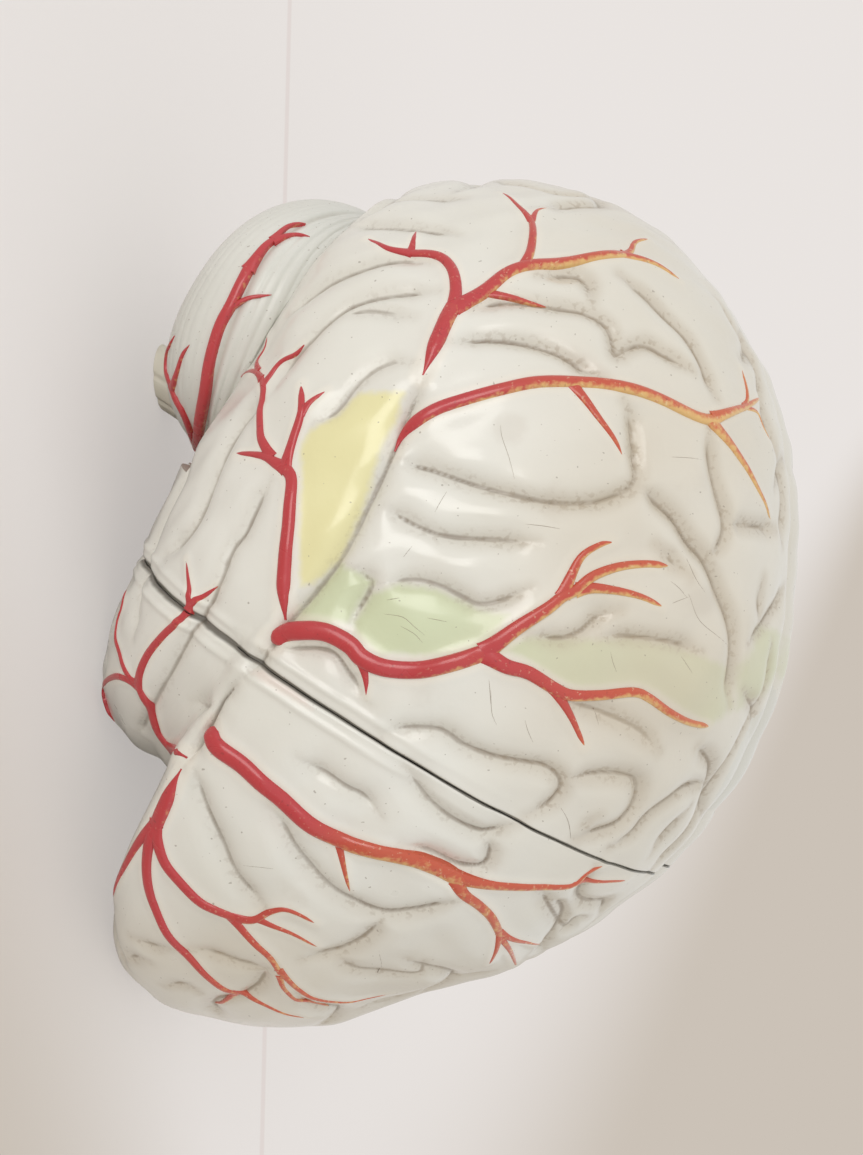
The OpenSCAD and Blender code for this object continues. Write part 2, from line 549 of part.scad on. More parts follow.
// Cerebellum: half a flattened ball under the tent, in leaves that run from its front end to its rear end
leaves = 12;
cerebellum_rows = 11;
function rounded(v) = sign(v) * pow(abs(v), 2 / cerebellum_power);
function leaf_point(i, k) =
  let (u = 180 * i / cerebellum_rows, v = -90 - 90 * k / leaves, f = 1 - (k % 2) * leaf_depth / cerebellum_t,
       c = k == 0 || k == 2 * leaves ? 0 : rounded(cos(v)), g = rounded(sin(u)) * f)
  [-(cerebellum_w / 2) * g * abs(c) - (c == 0 ? 0 : trim), cerebellum_l * rounded(cos(u)),
   cerebellum_t * g * rounded(sin(v))];
module cerebellum_form() {
  n = 2 * leaves + 1;
  skin = concat([[0, cerebellum_l, 0], [0, -cerebellum_l, 0]],
    [for (i = [1:cerebellum_rows - 1]) for (k = [0:n - 1]) leaf_point(i, k)]);
  function at(i, k) = 2 + (i - 1) * n + k;
  facets = [for (k = [0:n - 2]) each concat(
    [[0, at(1, k + 1), at(1, k)], [1, at(cerebellum_rows - 1, k), at(cerebellum_rows - 1, k + 1)]],
    [for (i = [1:cerebellum_rows - 2]) each
      [[at(i, k), at(i + 1, k + 1), at(i + 1, k)], [at(i, k), at(i, k + 1), at(i + 1, k + 1)]]])];
  middle = concat([0], [for (i = [1:cerebellum_rows - 1]) at(i, 0)], [1],
                  [for (i = [cerebellum_rows - 1:-1:1]) at(i, n - 1)]);
  translate([-inner_x, 0, 0]) at_tent() translate(cerebellum_mid)
    polyhedron(points = skin, faces = concat(facets, [middle]), convexity = 10);
}
module right_cerebellum() {
  color("gainsboro") difference() {
    union() {
      cerebellum_form();
      for (a = cerebellum_arteries) artery(a, cerebellum_shape);
    }
    at_tent() translate([-big / 2, -big / 2, -tent_gap]) cube(big);
    pons_room();
    on_tent() peg(peg_fit);
    below_floor();
  }
}
module left_cerebellum() { mirrored() right_cerebellum(); }

module right_brainstem() {
  color("wheat") difference() {
    stem_form();
    translate([-inner_x, -big / 2, -big / 2]) cube(big);
    on_stem() stem_peg(peg_fit);
    below_floor();
  }
}
module left_brainstem() { mirrored() right_brainstem(); }

// Basilar artery, up the front of the pons
basilar_facets = 32;
module basilar_artery() {
  color("firebrick") at_stem() translate([0, -pons_r - basilar_r + trim, -pons_drop]) {
    cylinder(r = basilar_r, h = 2 * pons_half, center = true, $fn = basilar_facets);
    for (side = [-1, 1]) translate([0, 0, side * pons_half]) sphere(r = basilar_r, $fn = basilar_facets);
  }
}

module right_upper_peg() { color("silver") on_seam(upper_peg) peg(); }
module right_lower_peg() { color("silver") on_seam(lower_peg) peg(); }
module left_upper_peg() { mirrored() right_upper_peg(); }
module left_lower_peg() { mirrored() right_lower_peg(); }
module crown_median_peg() { color("silver") on_middle(crown_peg) peg(); }
module rear_median_peg() { color("silver") on_middle(rear_peg) peg(); }
module right_cerebellum_peg() { color("silver") on_tent() peg(); }
module left_cerebellum_peg() { mirrored() right_cerebellum_peg(); }
module right_stem_peg() { color("silver") on_stem() stem_peg(); }
module left_stem_peg() { mirrored() right_stem_peg(); }

right_rear_hemisphere();
right_front_lobe();
left_rear_hemisphere();
left_front_lobe();
right_cerebellum();
left_cerebellum();
right_brainstem();
left_brainstem();
basilar_artery();
right_upper_peg();
right_lower_peg();
left_upper_peg();
left_lower_peg();
crown_median_peg();
rear_median_peg();
right_cerebellum_peg();
left_cerebellum_peg();
right_stem_peg();
left_stem_peg();
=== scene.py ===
import math

import bpy
import numpy as np
from mathutils import Matrix, Vector


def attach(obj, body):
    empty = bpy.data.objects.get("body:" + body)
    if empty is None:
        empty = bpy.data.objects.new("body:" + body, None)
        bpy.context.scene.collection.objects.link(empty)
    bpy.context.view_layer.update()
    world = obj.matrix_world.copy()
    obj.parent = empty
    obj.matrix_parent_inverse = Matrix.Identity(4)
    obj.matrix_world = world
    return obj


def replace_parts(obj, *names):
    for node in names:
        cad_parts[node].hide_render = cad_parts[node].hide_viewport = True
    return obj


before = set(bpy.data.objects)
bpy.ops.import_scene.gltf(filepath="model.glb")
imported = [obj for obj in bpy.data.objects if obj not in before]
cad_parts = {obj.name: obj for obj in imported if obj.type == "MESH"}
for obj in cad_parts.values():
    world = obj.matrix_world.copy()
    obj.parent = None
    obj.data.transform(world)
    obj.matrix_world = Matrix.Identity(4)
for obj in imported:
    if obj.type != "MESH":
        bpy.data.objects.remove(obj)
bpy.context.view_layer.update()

# Sizes, in millimetres, as in the solids
MM = 0.001
HALF_W = 69.0
DOME_POWER = 2.25
INNER_X = 0.15
FISSURE_ROLL, FISSURE_REACH = 4.0, 11.0
BASE_HOLLOW, HOLLOW_REACH = 27.0, 30.0
GROOVE_DEPTH, GROOVE_REACH, GROOVE_FLOOR = 2.4, 5.5, 0.22
TRUNK_W, ARTERY_RISE = 4.6, 0.38
SEAM_TILT, SEAM_GAP = 33.0, 0.3
HUB_Z = 41.5
HUB_Y = 16.8 - math.tan(math.radians(SEAM_TILT)) * HUB_Z
CENTRE_Y, CENTRE_Z = 5.3, 57.5
TENT = np.array([0.0, 55.3, 44.0])
TENT_SLOPE, TENT_FRONT, TENT_GAP = 33.0, -37.3, 0.3
STEM_BACK, STEM_TOP, PONS_DROP, PONS_HALF = -28.0, 20.0, 9.0, 8.0
PONS_R, MIDBRAIN_R, MEDULLA_R, STEM_GAP = 14.0, 9.0, 6.0, 0.35
CEREBELLUM = (49.0, 30.5, 20.5)
CEREBELLUM_MID = np.array([0.0, -6.0, -8.0])
CEREBELLUM_POWER = 2.3
PEG_R, PEG_FIT, PEG_REACH = 2.5, 0.06, 12.0
STEM_PEG_R, STEM_PEG_REACH, STEM_PEG_X = 2.0, 9.0, -4.2
UPPER_PEG, LOWER_PEG = (-30.0, 58.0), (-42.0, 21.0)
CROWN_PEG, REAR_PEG = (2.0, 103.0), (44.0, 70.0)
CEREBELLUM_PEG = (-24.0, -8.0)

# Side outline: degrees from the front over the crown, then the radius from its centre
OUTLINE = np.array([
    (0, 84), (15, 80.5), (30, 77.5), (50, 76), (70, 76), (90, 76), (110, 80), (130, 84), (147, 86),
    (165, 83), (180, 78.5), (190, 71), (200, 61), (212, 54), (228, 50.5), (245, 49.5), (258, 51), (270, 55),
    (281, 61.5), (292, 66), (302, 65.5), (309, 62), (316, 67), (321, 93.5), (328, 100.5), (338, 97), (348, 92.5)])
HOLLOW_ROUND = np.array([(0, 0), (190, 0), (215, 0.2), (245, 0.75), (265, 0.95), (285, 1), (300, 1),
                         (310, 0.6), (318, 0), (360, 0)])

# The side view on which the routes were drawn: eye point, lean, and dots to the millimetre
EYE_UP, EYE_FORWARD, ROLL = (math.radians(a) for a in (15.0, 4.0, -1.1))
EYE_DISTANCE, DOTS = 430.0, 4.85
PICTURE = (863.0, 1155.0)
TARGET = np.array([0.0, 6.3, 59.5])
LOOK = np.array([math.cos(EYE_UP) * math.cos(EYE_FORWARD), math.cos(EYE_UP) * math.sin(EYE_FORWARD),
                 -math.sin(EYE_UP)])
LEVEL = np.array([math.sin(EYE_FORWARD), -math.cos(EYE_FORWARD), 0.0])
RISE = np.cross(LEVEL, LOOK)
DOWN = LEVEL * math.cos(ROLL) + RISE * math.sin(ROLL)
RIGHT = RISE * math.cos(ROLL) - LEVEL * math.sin(ROLL)
EYE = TARGET - LOOK * EYE_DISTANCE

# Routes of the grooves between the folds
# Each groove: depth share, then its route on the side view
SIDE_GROOVES = [
    (1.5, [(182, 767), (192, 750), (213, 709), (219, 698), (243, 678)]),
    (1.3, [(243, 678), (264, 655), (290, 620), (338, 560), (368, 502), (391, 453), (412, 402), (423, 377)]),
    (1, [(350, 226), (368, 222), (412, 224), (458, 234)]),
    (1, [(287, 316), (302, 298), (330, 277), (361, 265), (399, 258), (432, 261)]),
    (1, [(276, 384), (284, 364), (302, 344), (325, 321), (350, 303), (386, 293), (437, 289)]),
    (0.6, [(335, 318), (361, 310), (386, 310), (414, 316)]),
    (0.7, [(310, 425), (335, 410), (355, 384), (373, 369), (394, 361), (414, 364)]),
    (1, [(264, 402), (243, 418), (223, 453), (208, 486), (190, 527), (164, 554)]),
    (0.8, [(269, 479), (256, 504), (243, 532), (230, 550), (212, 596), (186, 640), (160, 690), (140, 735)]),
    (1.2, [(394, 460), (422, 466), (464, 480), (506, 492), (548, 501), (590, 502), (618, 495), (638, 480),
           (638, 446), (633, 418), (624, 401)]),
    (1.1, [(380, 506), (422, 528), (450, 536), (492, 539), (537, 542)]),
    (1, [(380, 584), (411, 579), (436, 584), (459, 595), (478, 604), (501, 601), (531, 588)]),
    (1, [(345, 565), (370, 582), (356, 612), (352, 632)]),
    (1, [(529, 635), (560, 639), (582, 632), (599, 618), (621, 611)]),
    (1, [(599, 637), (633, 637), (677, 643), (703, 653)]),
    (1.3, [(641, 483), (658, 500), (677, 517), (694, 542), (711, 564), (728, 604), (736, 635), (736, 668),
           (732, 705)]),
    (1.2, [(711, 429), (714, 455), (722, 491), (729, 522), (725, 544), (711, 558)]),
    (1, [(729, 526), (753, 525), (778, 530)]),
    (1.2, [(450, 342), (487, 337), (526, 340), (560, 351), (588, 368), (604, 376)]),
    (1, [(470, 309), (503, 300), (565, 306), (593, 314), (613, 328), (618, 354), (624, 348), (647, 342),
         (669, 354), (694, 370)]),
    (0.8, [(537, 275), (576, 272), (589, 283), (593, 303)]),
    (1, [(621, 275), (649, 295), (683, 328), (705, 362), (717, 398)]),
    (0.6, [(380, 202), (419, 195), (464, 198)]),
    (1, [(271, 650), (325, 650), (348, 673), (366, 704)]),
    (1, [(380, 736), (397, 730), (422, 729), (444, 733), (464, 747), (492, 758), (526, 764), (548, 769),
         (562, 781), (560, 795), (546, 809), (526, 818)]),
    (1, [(565, 781), (593, 776), (627, 778), (641, 786), (638, 806), (621, 825), (599, 834), (576, 841)]),
    (1, [(610, 848), (633, 837), (649, 820), (669, 803), (689, 789), (711, 786)]),
    (0.8, [(652, 856), (672, 831), (691, 806)]),
    (0.9, [(195, 768), (200, 796), (213, 827), (228, 863), (243, 886), (264, 909)]),
    (1, [(269, 809), (284, 830), (299, 855), (322, 881), (348, 901), (381, 915), (412, 914), (442, 906), (458, 899)]),
    (0.8, [(384, 919), (368, 937), (348, 950), (330, 956), (302, 961)]),
    (0.7, [(190, 950), (218, 957), (243, 965), (274, 971)]),
    (0.7, [(131, 937), (151, 947), (172, 948)]),
    (0.6, [(335, 958), (361, 971), (419, 975), (424, 962)]),
    (1, [(297, 760), (322, 773), (345, 788), (363, 798), (380, 817)]),
    (1, [(405, 767), (425, 797), (447, 817), (473, 831), (489, 834), (517, 825)]),
    (1, [(489, 835), (491, 854), (484, 868), (459, 868), (430, 854), (402, 845)]),
    (0.8, [(540, 890), (565, 929), (576, 921), (590, 918)]),
    (0.6, [(190, 702), (208, 704), (219, 702)]),
    # Small curls and rim marks
    (0.6, [(764, 578), (762, 604), (764, 631)]),
    (0.7, [(586, 834), (589, 823), (599, 817)]),
    (0.5, [(126, 960), (136, 957), (150, 962)]),
    (0.5, [(164, 987), (185, 985), (200, 993)]),
    (0.7, [(745, 690), (757, 712), (752, 735)]),
    (0.7, [(656, 545), (672, 560), (690, 575)]),
    (0.6, [(560, 700), (600, 712), (640, 730), (660, 752)]),
]
# Grooves on the sides that the side view doesn't show, in millimetres
TOP_GROOVES = [
    (1, [(-10, -62), (-22, -58), (-34, -50)]), (1, [(-9, -40), (-20, -36), (-31, -27)]),
    (1, [(-9, 2), (-18, -2), (-26, -10)]), (1, [(-9, 26), (-20, 22)]), (0.9, [(-9, 52), (-22, 46)]),
    (0.8, [(-14, -52), (-16, -30), (-15, -8)]), (0.8, [(-14, 10), (-16, 34), (-15, 58)]),
]
BASE_GROOVES = [
    (1, [(-40, -14), (-36, 2), (-34, 20), (-30, 36)]), (1, [(-54, -8), (-50, 12), (-44, 30)]),
    (1, [(-16, -40), (-18, -56), (-16, -72)]), (0.9, [(-28, -44), (-40, -56), (-30, -70)]),
]
FRONT_GROOVES = [
    (1, [(-12, 40), (-24, 46), (-36, 44)]), (1, [(-10, 62), (-22, 68), (-36, 66)]),
    (1, [(-10, 86), (-22, 90), (-34, 92)]), (0.8, [(-22, 22), (-34, 28), (-44, 40)]),
    (0.8, [(-16, 50), (-18, 62), (-16, 76)]),
]
BACK_GROOVES = [
    (1, [(-10, 72), (-22, 76), (-34, 72)]), (1, [(-10, 94), (-24, 98), (-36, 94)]),
    (0.9, [(-14, 58), (-28, 60), (-40, 56)]), (0.8, [(-22, 78), (-24, 88), (-22, 98)]),
]

# Arteries: width at the start and at the tip as shares of TRUNK_W, then the route on the side view
ARTERIES = [
    # Middle artery
    (0.95, 0.8, [(270, 642), (281, 635), (295, 631), (325, 632), (350, 645), (363, 658), (386, 668), (419, 670),
                 (452, 663), (484, 653)]),
    (0.8, 0.3, [(484, 653), (501, 640), (520, 626), (548, 608), (562, 597), (576, 590), (593, 576), (618, 567),
                (647, 564), (669, 566)]),
    (0.6, 0.2, [(562, 597), (571, 576), (582, 556), (599, 545), (613, 542)]),
    (0.55, 0.2, [(576, 590), (593, 588), (618, 591), (641, 597), (663, 607)]),
    (0.75, 0.3, [(484, 653), (506, 666), (529, 673), (554, 688), (571, 695), (599, 695), (633, 692), (649, 698),
                 (669, 712), (689, 722), (708, 726)]),
    (0.5, 0.18, [(554, 688), (571, 716), (581, 738), (585, 747)]),
    (0.45, 0.12, [(363, 662), (366, 680), (366, 696)]),
    # Temporal branch
    (0.75, 0.6, [(284, 620), (284, 576), (290, 520), (292, 481), (284, 466)]),
    (0.6, 0.15, [(286, 468), (276, 463), (266, 457), (256, 455), (236, 454)]),
    (0.5, 0.35, [(272, 458), (266, 447), (262, 435), (262, 410), (264, 390), (262, 377)]),
    (0.4, 0.12, [(262, 380), (256, 372), (248, 372), (241, 377)]),
    (0.4, 0.12, [(258, 372), (257, 361), (264, 349), (269, 335)]),
    (0.45, 0.12, [(263, 386), (269, 377), (279, 361), (292, 351), (301, 342)]),
    (0.6, 0.3, [(285, 468), (294, 438), (301, 418), (303, 407), (302, 386)]),
    (0.4, 0.12, [(302, 414), (312, 402), (328, 390)]),
    # Rear branch
    (0.75, 0.8, [(423, 375), (436, 345), (447, 320), (454, 306)]),
    (0.65, 0.4, [(454, 310), (456, 286), (452, 269), (442, 258), (425, 253), (409, 251)]),
    (0.4, 0.12, [(412, 251), (389, 249), (376, 243), (366, 238)]),
    (0.4, 0.12, [(408, 253), (412, 247), (416, 230)]),
    (0.75, 0.5, [(454, 308), (464, 303), (487, 289), (506, 275), (523, 268), (548, 264), (576, 260), (604, 257),
                 (627, 255)]),
    (0.5, 0.18, [(622, 255), (641, 260), (661, 269), (680, 281)]),
    (0.4, 0.15, [(624, 256), (631, 251), (635, 243), (648, 241)]),
    (0.5, 0.3, [(524, 268), (531, 250), (533, 230), (530, 217)]),
    (0.35, 0.12, [(532, 222), (517, 206), (501, 193)]),
    (0.3, 0.12, [(532, 222), (537, 212), (548, 207)]),
    (0.4, 0.15, [(483, 291), (512, 296), (531, 300), (548, 303)]),
    # Crown branch
    (0.65, 0.55, [(393, 449), (400, 435), (416, 421), (442, 407), (473, 397), (506, 389), (537, 383), (571, 382),
                  (599, 383), (627, 389), (655, 398), (683, 410), (703, 418), (717, 420)]),
    (0.6, 0.18, [(712, 419), (734, 411), (745, 407), (760, 398)]),
    (0.35, 0.15, [(742, 408), (746, 401), (745, 384), (742, 368)]),
    (0.6, 0.15, [(712, 420), (720, 432), (734, 449), (748, 471), (762, 497), (773, 519)]),
    (0.5, 0.18, [(571, 383), (588, 404), (602, 424), (616, 443), (623, 455)]),
    (0.25, 0.12, [(745, 408), (757, 413), (764, 429), (770, 443)]),
    # Frontal branch
    (0.95, 0.8, [(208, 727), (211, 737), (218, 747), (243, 765), (269, 788), (297, 813), (322, 831), (348, 843),
                 (373, 849), (412, 859), (437, 869), (462, 882)]),
    (0.65, 0.25, [(455, 879), (492, 884), (534, 886), (571, 884), (588, 873), (604, 865)]),
    (0.35, 0.15, [(571, 884), (604, 882), (627, 879)]),
    (0.6, 0.4, [(455, 880), (464, 893), (478, 904), (492, 918), (501, 936)]),
    (0.4, 0.12, [(501, 932), (496, 948), (488, 963)]),
    (0.35, 0.12, [(500, 936), (510, 950), (518, 970)]),
    (0.4, 0.12, [(499, 932), (512, 938), (541, 946)]),
    (0.4, 0.12, [(338, 840), (345, 869), (350, 892)]),
    # Lower frontal artery
    (0.7, 0.8, [(181, 769), (175, 783), (169, 798), (157, 826)]),
    (0.6, 0.2, [(160, 820), (146, 835), (134, 853), (121, 878), (114, 899)]),
    (0.65, 0.4, [(158, 822), (151, 842), (148, 868), (151, 896), (162, 921), (177, 944), (195, 962), (218, 983),
                 (236, 995)]),
    (0.4, 0.12, [(232, 992), (259, 1003), (284, 1012), (307, 1017)]),
    (0.35, 0.12, [(236, 995), (223, 1004), (214, 1007)]),
    (0.65, 0.5, [(157, 824), (159, 840), (167, 863), (182, 883), (200, 899), (218, 909), (238, 919)]),
    (0.5, 0.15, [(232, 917), (253, 920), (269, 913), (284, 909), (299, 913), (317, 923)]),
    (0.35, 0.12, [(256, 919), (269, 924), (292, 933), (320, 948)]),
    (0.45, 0.3, [(232, 917), (238, 924), (256, 942), (271, 957), (281, 973)]),
    (0.35, 0.12, [(279, 968), (297, 988), (317, 998), (345, 1002), (371, 998), (391, 993)]),
    (0.3, 0.12, [(280, 975), (284, 988), (297, 1001), (312, 1006), (330, 1011)]),
    # Temporal pole artery
    (0.7, 0.5, [(185, 758), (169, 744), (154, 719), (141, 693), (137, 680)]),
    (0.5, 0.35, [(138, 685), (141, 670), (149, 653), (164, 635), (182, 618), (191, 602)]),
    (0.35, 0.12, [(189, 606), (190, 585), (187, 559)]),
    (0.35, 0.12, [(189, 604), (202, 596), (215, 586)]),
    (0.4, 0.2, [(138, 684), (131, 678), (123, 660), (117, 640), (118, 622), (123, 607), (127, 589)]),
    (0.4, 0.15, [(138, 688), (128, 679), (118, 676), (108, 681), (104, 693), (108, 709), (116, 721)]),
]
CEREBELLUM_ARTERIES = [
    (0.65, 0.55, [(198, 450), (200, 422), (205, 393), (209, 366), (214, 345), (221, 324), (231, 305), (240, 286),
                  (250, 266)]),
    (0.55, 0.3, [(248, 270), (264, 248), (276, 238)]),
    (0.35, 0.12, [(273, 240), (286, 228), (297, 224), (306, 224)]),
    (0.35, 0.12, [(273, 241), (288, 236), (300, 235), (310, 237)]),
    (0.4, 0.12, [(218, 330), (224, 317), (236, 305), (250, 298), (272, 295)]),
    (0.35, 0.5, [(197, 450), (186, 417), (176, 398), (171, 386)]),
    (0.4, 0.12, [(172, 388), (167, 372), (168, 352), (175, 336)]),
    (0.45, 0.12, [(172, 390), (178, 371), (183, 355), (190, 345)]),
]

# Painted fields on the side view
YELLOW = [(358, 392), (404, 392), (396, 418), (381, 448), (360, 512), (338, 560), (310, 584), (300, 586), (300, 520),
          (302, 492), (301, 448), (310, 430), (335, 415), (348, 402)]
GREENS = [
    [(289, 622), (338, 563), (373, 581), (348, 622), (310, 627)],
    [(353, 622), (371, 594), (399, 584), (437, 589), (478, 609), (509, 615), (487, 649), (436, 657), (397, 654),
     (381, 655), (356, 635)],
    [(492, 649), (526, 638), (576, 640), (633, 639), (677, 646), (711, 660), (735, 671), (735, 708), (711, 724),
     (689, 713), (655, 691), (633, 684), (576, 688), (548, 674), (520, 657)],
    [(742, 668), (767, 626), (784, 635), (781, 668), (764, 696), (739, 710)],
]
PINK = [(251, 673), (264, 681), (284, 693), (312, 709), (306, 698), (284, 682), (262, 668)]
# Worn places: middle on the side view and reach in dots
SCUFFS = [(512, 430, 34), (700, 600, 46), (652, 830, 42), (560, 500, 40), (640, 560, 36), (300, 900, 50),
          (690, 470, 40), (590, 830, 40), (430, 700, 40), (520, 960, 36)]

# Hair scratches, as runs of dots
SCRATCHES = [
    [(501, 425), (502, 436), (509, 457), (515, 479)], [(447, 491), (441, 501), (435, 512)],
    [(412, 546), (408, 551), (403, 557)], [(526, 524), (544, 526), (560, 529)],
    [(672, 457), (688, 458), (702, 460)], [(688, 559), (696, 581), (704, 592)],
    [(664, 608), (676, 602), (688, 597)], [(671, 581), (679, 588), (686, 597)],
    [(688, 594), (699, 618), (715, 634), (734, 650)], [(401, 626), (415, 634), (423, 643)],
    [(428, 618), (438, 620), (447, 622)], [(387, 600), (394, 599), (400, 598)],
    [(611, 652), (613, 662), (617, 672)], [(684, 657), (688, 665), (692, 673)],
    [(489, 677), (490, 690), (491, 704)], [(525, 720), (528, 731), (533, 742)],
    [(384, 614), (403, 617), (414, 626), (425, 635)], [(243, 866), (258, 866), (274, 868)],
    [(379, 949), (382, 967), (378, 976)], [(491, 690), (492, 713), (497, 725)], [(385, 753), (390, 757), (396, 762)],
    [(560, 806), (569, 822), (572, 840)], [(628, 812), (640, 818), (655, 819)], [(590, 700), (597, 712), (600, 726)]]


# The dome
def smooth_ring(knots, step=1.0):
    """Closed curve through (angle, radius) knots: cubic pieces whose slope at a knot is that between the knots
    beside it."""
    a, r = knots[:, 0], knots[:, 1]
    n = len(a)
    slope = np.array([(r[(i + 1) % n] - r[i - 1]) / ((a[(i + 1) % n] - a[i - 1] + 720) % 360) for i in range(n)])
    out = []
    for i in range(n):
        j = (i + 1) % n
        h = (a[j] - a[i] + 360) % 360
        u = np.arange(math.ceil(h / step)) / math.ceil(h / step)
        rad = (r[i] * (2 * u**3 - 3 * u**2 + 1) + r[j] * (3 * u**2 - 2 * u**3)
               + slope[i] * h * (u**3 - 2 * u**2 + u) + slope[j] * h * (u**3 - u**2))
        out.append(np.stack([a[i] + u * h, rad], 1))
    return np.concatenate(out)


RING = smooth_ring(OUTLINE)


def turn(y, z):
    """Angle in the side view, in degrees from the front over the crown."""
    return np.degrees(np.arctan2(z, -y)) % 360


_hy = CENTRE_Y - RING[:, 1] * np.cos(np.radians(RING[:, 0])) - HUB_Y
_hz = CENTRE_Z + RING[:, 1] * np.sin(np.radians(RING[:, 0])) - HUB_Z
HUB_RING = (turn(_hy, _hz), np.hypot(_hy, _hz))


def share(y, z):
    """Share of the outline's radius at which a place lies in the side view: 0 in the middle, 1 on the outline."""
    dy, dz = y - CENTRE_Y, z - CENTRE_Z
    return np.hypot(dy, dz) / np.interp(turn(dy, dz), RING[:, 0], RING[:, 1], period=360)


def dome(p):
    """Below 0 inside the dome: |x / half width| to the power, plus the share to the power, less 1."""
    return (np.abs(p[..., 0]) / HALF_W) ** DOME_POWER + share(p[..., 1], p[..., 2]) ** DOME_POWER - 1


def to_tent(p):
    """The tent's own frame: turned by its slope about X, with the origin in its middle."""
    c, s = math.cos(math.radians(TENT_SLOPE)), math.sin(math.radians(TENT_SLOPE))
    q = p - TENT
    return np.stack([q[..., 0], q[..., 1] * c + q[..., 2] * s, q[..., 2] * c - q[..., 1] * s], -1)


def from_tent(q):
    """Back from the tent's frame."""
    c, s = math.cos(math.radians(TENT_SLOPE)), math.sin(math.radians(TENT_SLOPE))
    return np.stack([q[..., 0], q[..., 1] * c - q[..., 2] * s, q[..., 1] * s + q[..., 2] * c], -1) + TENT


def ball(p):
    """Below 0 inside the cerebellum: the powers of its three shares, less 1."""
    q = (to_tent(p) - CEREBELLUM_MID) / np.array(CEREBELLUM)
    return (np.abs(q) ** CEREBELLUM_POWER).sum(-1) - 1


def normal(f, p):
    """Outward direction: the slope of the form's value along the three axes, at unit length."""
    e = 0.4
    g = np.stack([f(p + e * a) - f(p - e * a) for a in np.eye(3)], -1)
    return g / np.maximum(np.linalg.norm(g, axis=-1, keepdims=True), 1e-9)


def cast(origin, ray, f, near, far):
    """Where rays first enter a form, by steps and then halving; a ray that misses gives its nearest place."""
    t = np.linspace(near, far, 500)
    v = f(origin[:, None] + ray[:, None] * t[None, :, None])
    inside = v < 0
    hit = inside.any(1)
    k = np.where(hit, inside.argmax(1), v.argmin(1))
    lo, hi = t[np.maximum(k - 1, 0)], t[k].copy()
    for _ in range(18):
        m = (lo + hi) / 2
        deep = f(origin + ray * m[:, None]) < 0
        hi, lo = np.where(deep, m, hi), np.where(deep, lo, m)
    return origin + ray * np.where(hit, hi, t[k])[:, None]


def from_view(dots, f=dome):
    """Places on a form under dots of the side view."""
    d = np.asarray(dots, float)
    ray = (LOOK * EYE_DISTANCE + DOWN * (d[:, 1:2] - PICTURE[1] / 2) / DOTS
           + RIGHT * (d[:, 0:1] - PICTURE[0] / 2) / DOTS)
    ray /= np.linalg.norm(ray, axis=1, keepdims=True)
    return cast(np.repeat(EYE[None], len(d), 0), ray, f, EYE_DISTANCE - 110, EYE_DISTANCE + 40)


def to_view(p):
    """Dots of the side view over places."""
    q = p - TARGET
    k = DOTS * EYE_DISTANCE / (EYE_DISTANCE + q @ LOOK)
    return np.stack([PICTURE[0] / 2 + k * (q @ RIGHT), PICTURE[1] / 2 + k * (q @ DOWN)], -1)


def curve_through(p, step):
    """Smooth route through points, resampled at an even step: cubic pieces between neighbours."""
    p = np.asarray(p, float)
    if len(p) > 2:
        e = np.concatenate([[2 * p[0] - p[1]], p, [2 * p[-1] - p[-2]]])
        u = (np.arange(12) / 12)[None, :, None]
        a, b, c, d = (e[i:len(p) - 1 + i][:, None] for i in range(4))
        fine = 0.5 * (2 * b + (c - a) * u + (2 * a - 5 * b + 4 * c - d) * u**2 + (3 * b - a - 3 * c + d) * u**3)
        p = np.concatenate([fine.reshape(-1, p.shape[1]), p[-1:]])
    s = np.concatenate([[0], np.cumsum(np.linalg.norm(np.diff(p, axis=0), axis=1))])
    at = np.linspace(0, s[-1], max(2, int(round(s[-1] / step)) + 1))
    return np.stack([np.interp(at, s, p[:, k]) for k in range(p.shape[1])], 1)


def from_axis(points, fixed, ray):
    """Places on the dome under points given in a plane square to an axis."""
    axis = int(np.argmax(np.abs(ray)))
    o = np.insert(np.asarray(points, float), axis, fixed, axis=1)
    return cast(o, np.repeat(np.array([ray], float), len(o), 0), dome, 40, 150)


def wander(route):
    """A groove's line carried 1.7 mm to either side by a sine, so that it bends as a fold does."""
    p = curve_through(route, 1.5)
    along = np.gradient(p, axis=0)
    side = np.stack([-along[:, 1], along[:, 0]], 1) / np.linalg.norm(along, axis=1, keepdims=True)
    return p + side * 1.7 * np.sin(np.arange(len(p))[:, None] / 2.9 + p[0].sum())


GROOVES = [(s, from_view(curve_through(r, 7))) for s, r in SIDE_GROOVES]
for routes, start, way in ((TOP_GROOVES, 200, (0, 0, -1)), (BASE_GROOVES, -60, (0, 0, 1)),
                           (FRONT_GROOVES, -150, (0, 1, 0)), (BACK_GROOVES, 150, (0, -1, 0))):
    GROOVES += [(s, from_axis(wander(r), start, way)) for s, r in routes]


def route_distance(p, route, reach):
    """Distance from places to a route and how far along it they lie, only within reach of its box."""
    d = np.full(len(p), reach)
    along = np.zeros(len(p))
    near = np.flatnonzero(((p > route.min(0) - reach) & (p < route.max(0) + reach)).all(1))
    if not len(near):
        return d, along, 0.0
    q = p[near]
    length = np.concatenate([[0], np.cumsum(np.linalg.norm(np.diff(route, axis=0), axis=1))])
    best, where = np.full(len(q), reach), np.zeros(len(q))
    for i in range(len(route) - 1):
        e = route[i + 1] - route[i]
        u = np.clip((q - route[i]) @ e / max(e @ e, 1e-9), 0, 1)
        dist = np.linalg.norm(q - route[i] - u[:, None] * e, axis=1)
        closer = dist < best
        best[closer], where[closer] = dist[closer], (length[i] + u * (length[i + 1] - length[i]))[closer]
    d[near], along[near] = best, where
    return d, along, length[-1]


def ease(u):
    """0 to 1 with level ends."""
    c = np.clip(u, 0, 1)
    return c * c * (3 - 2 * c)


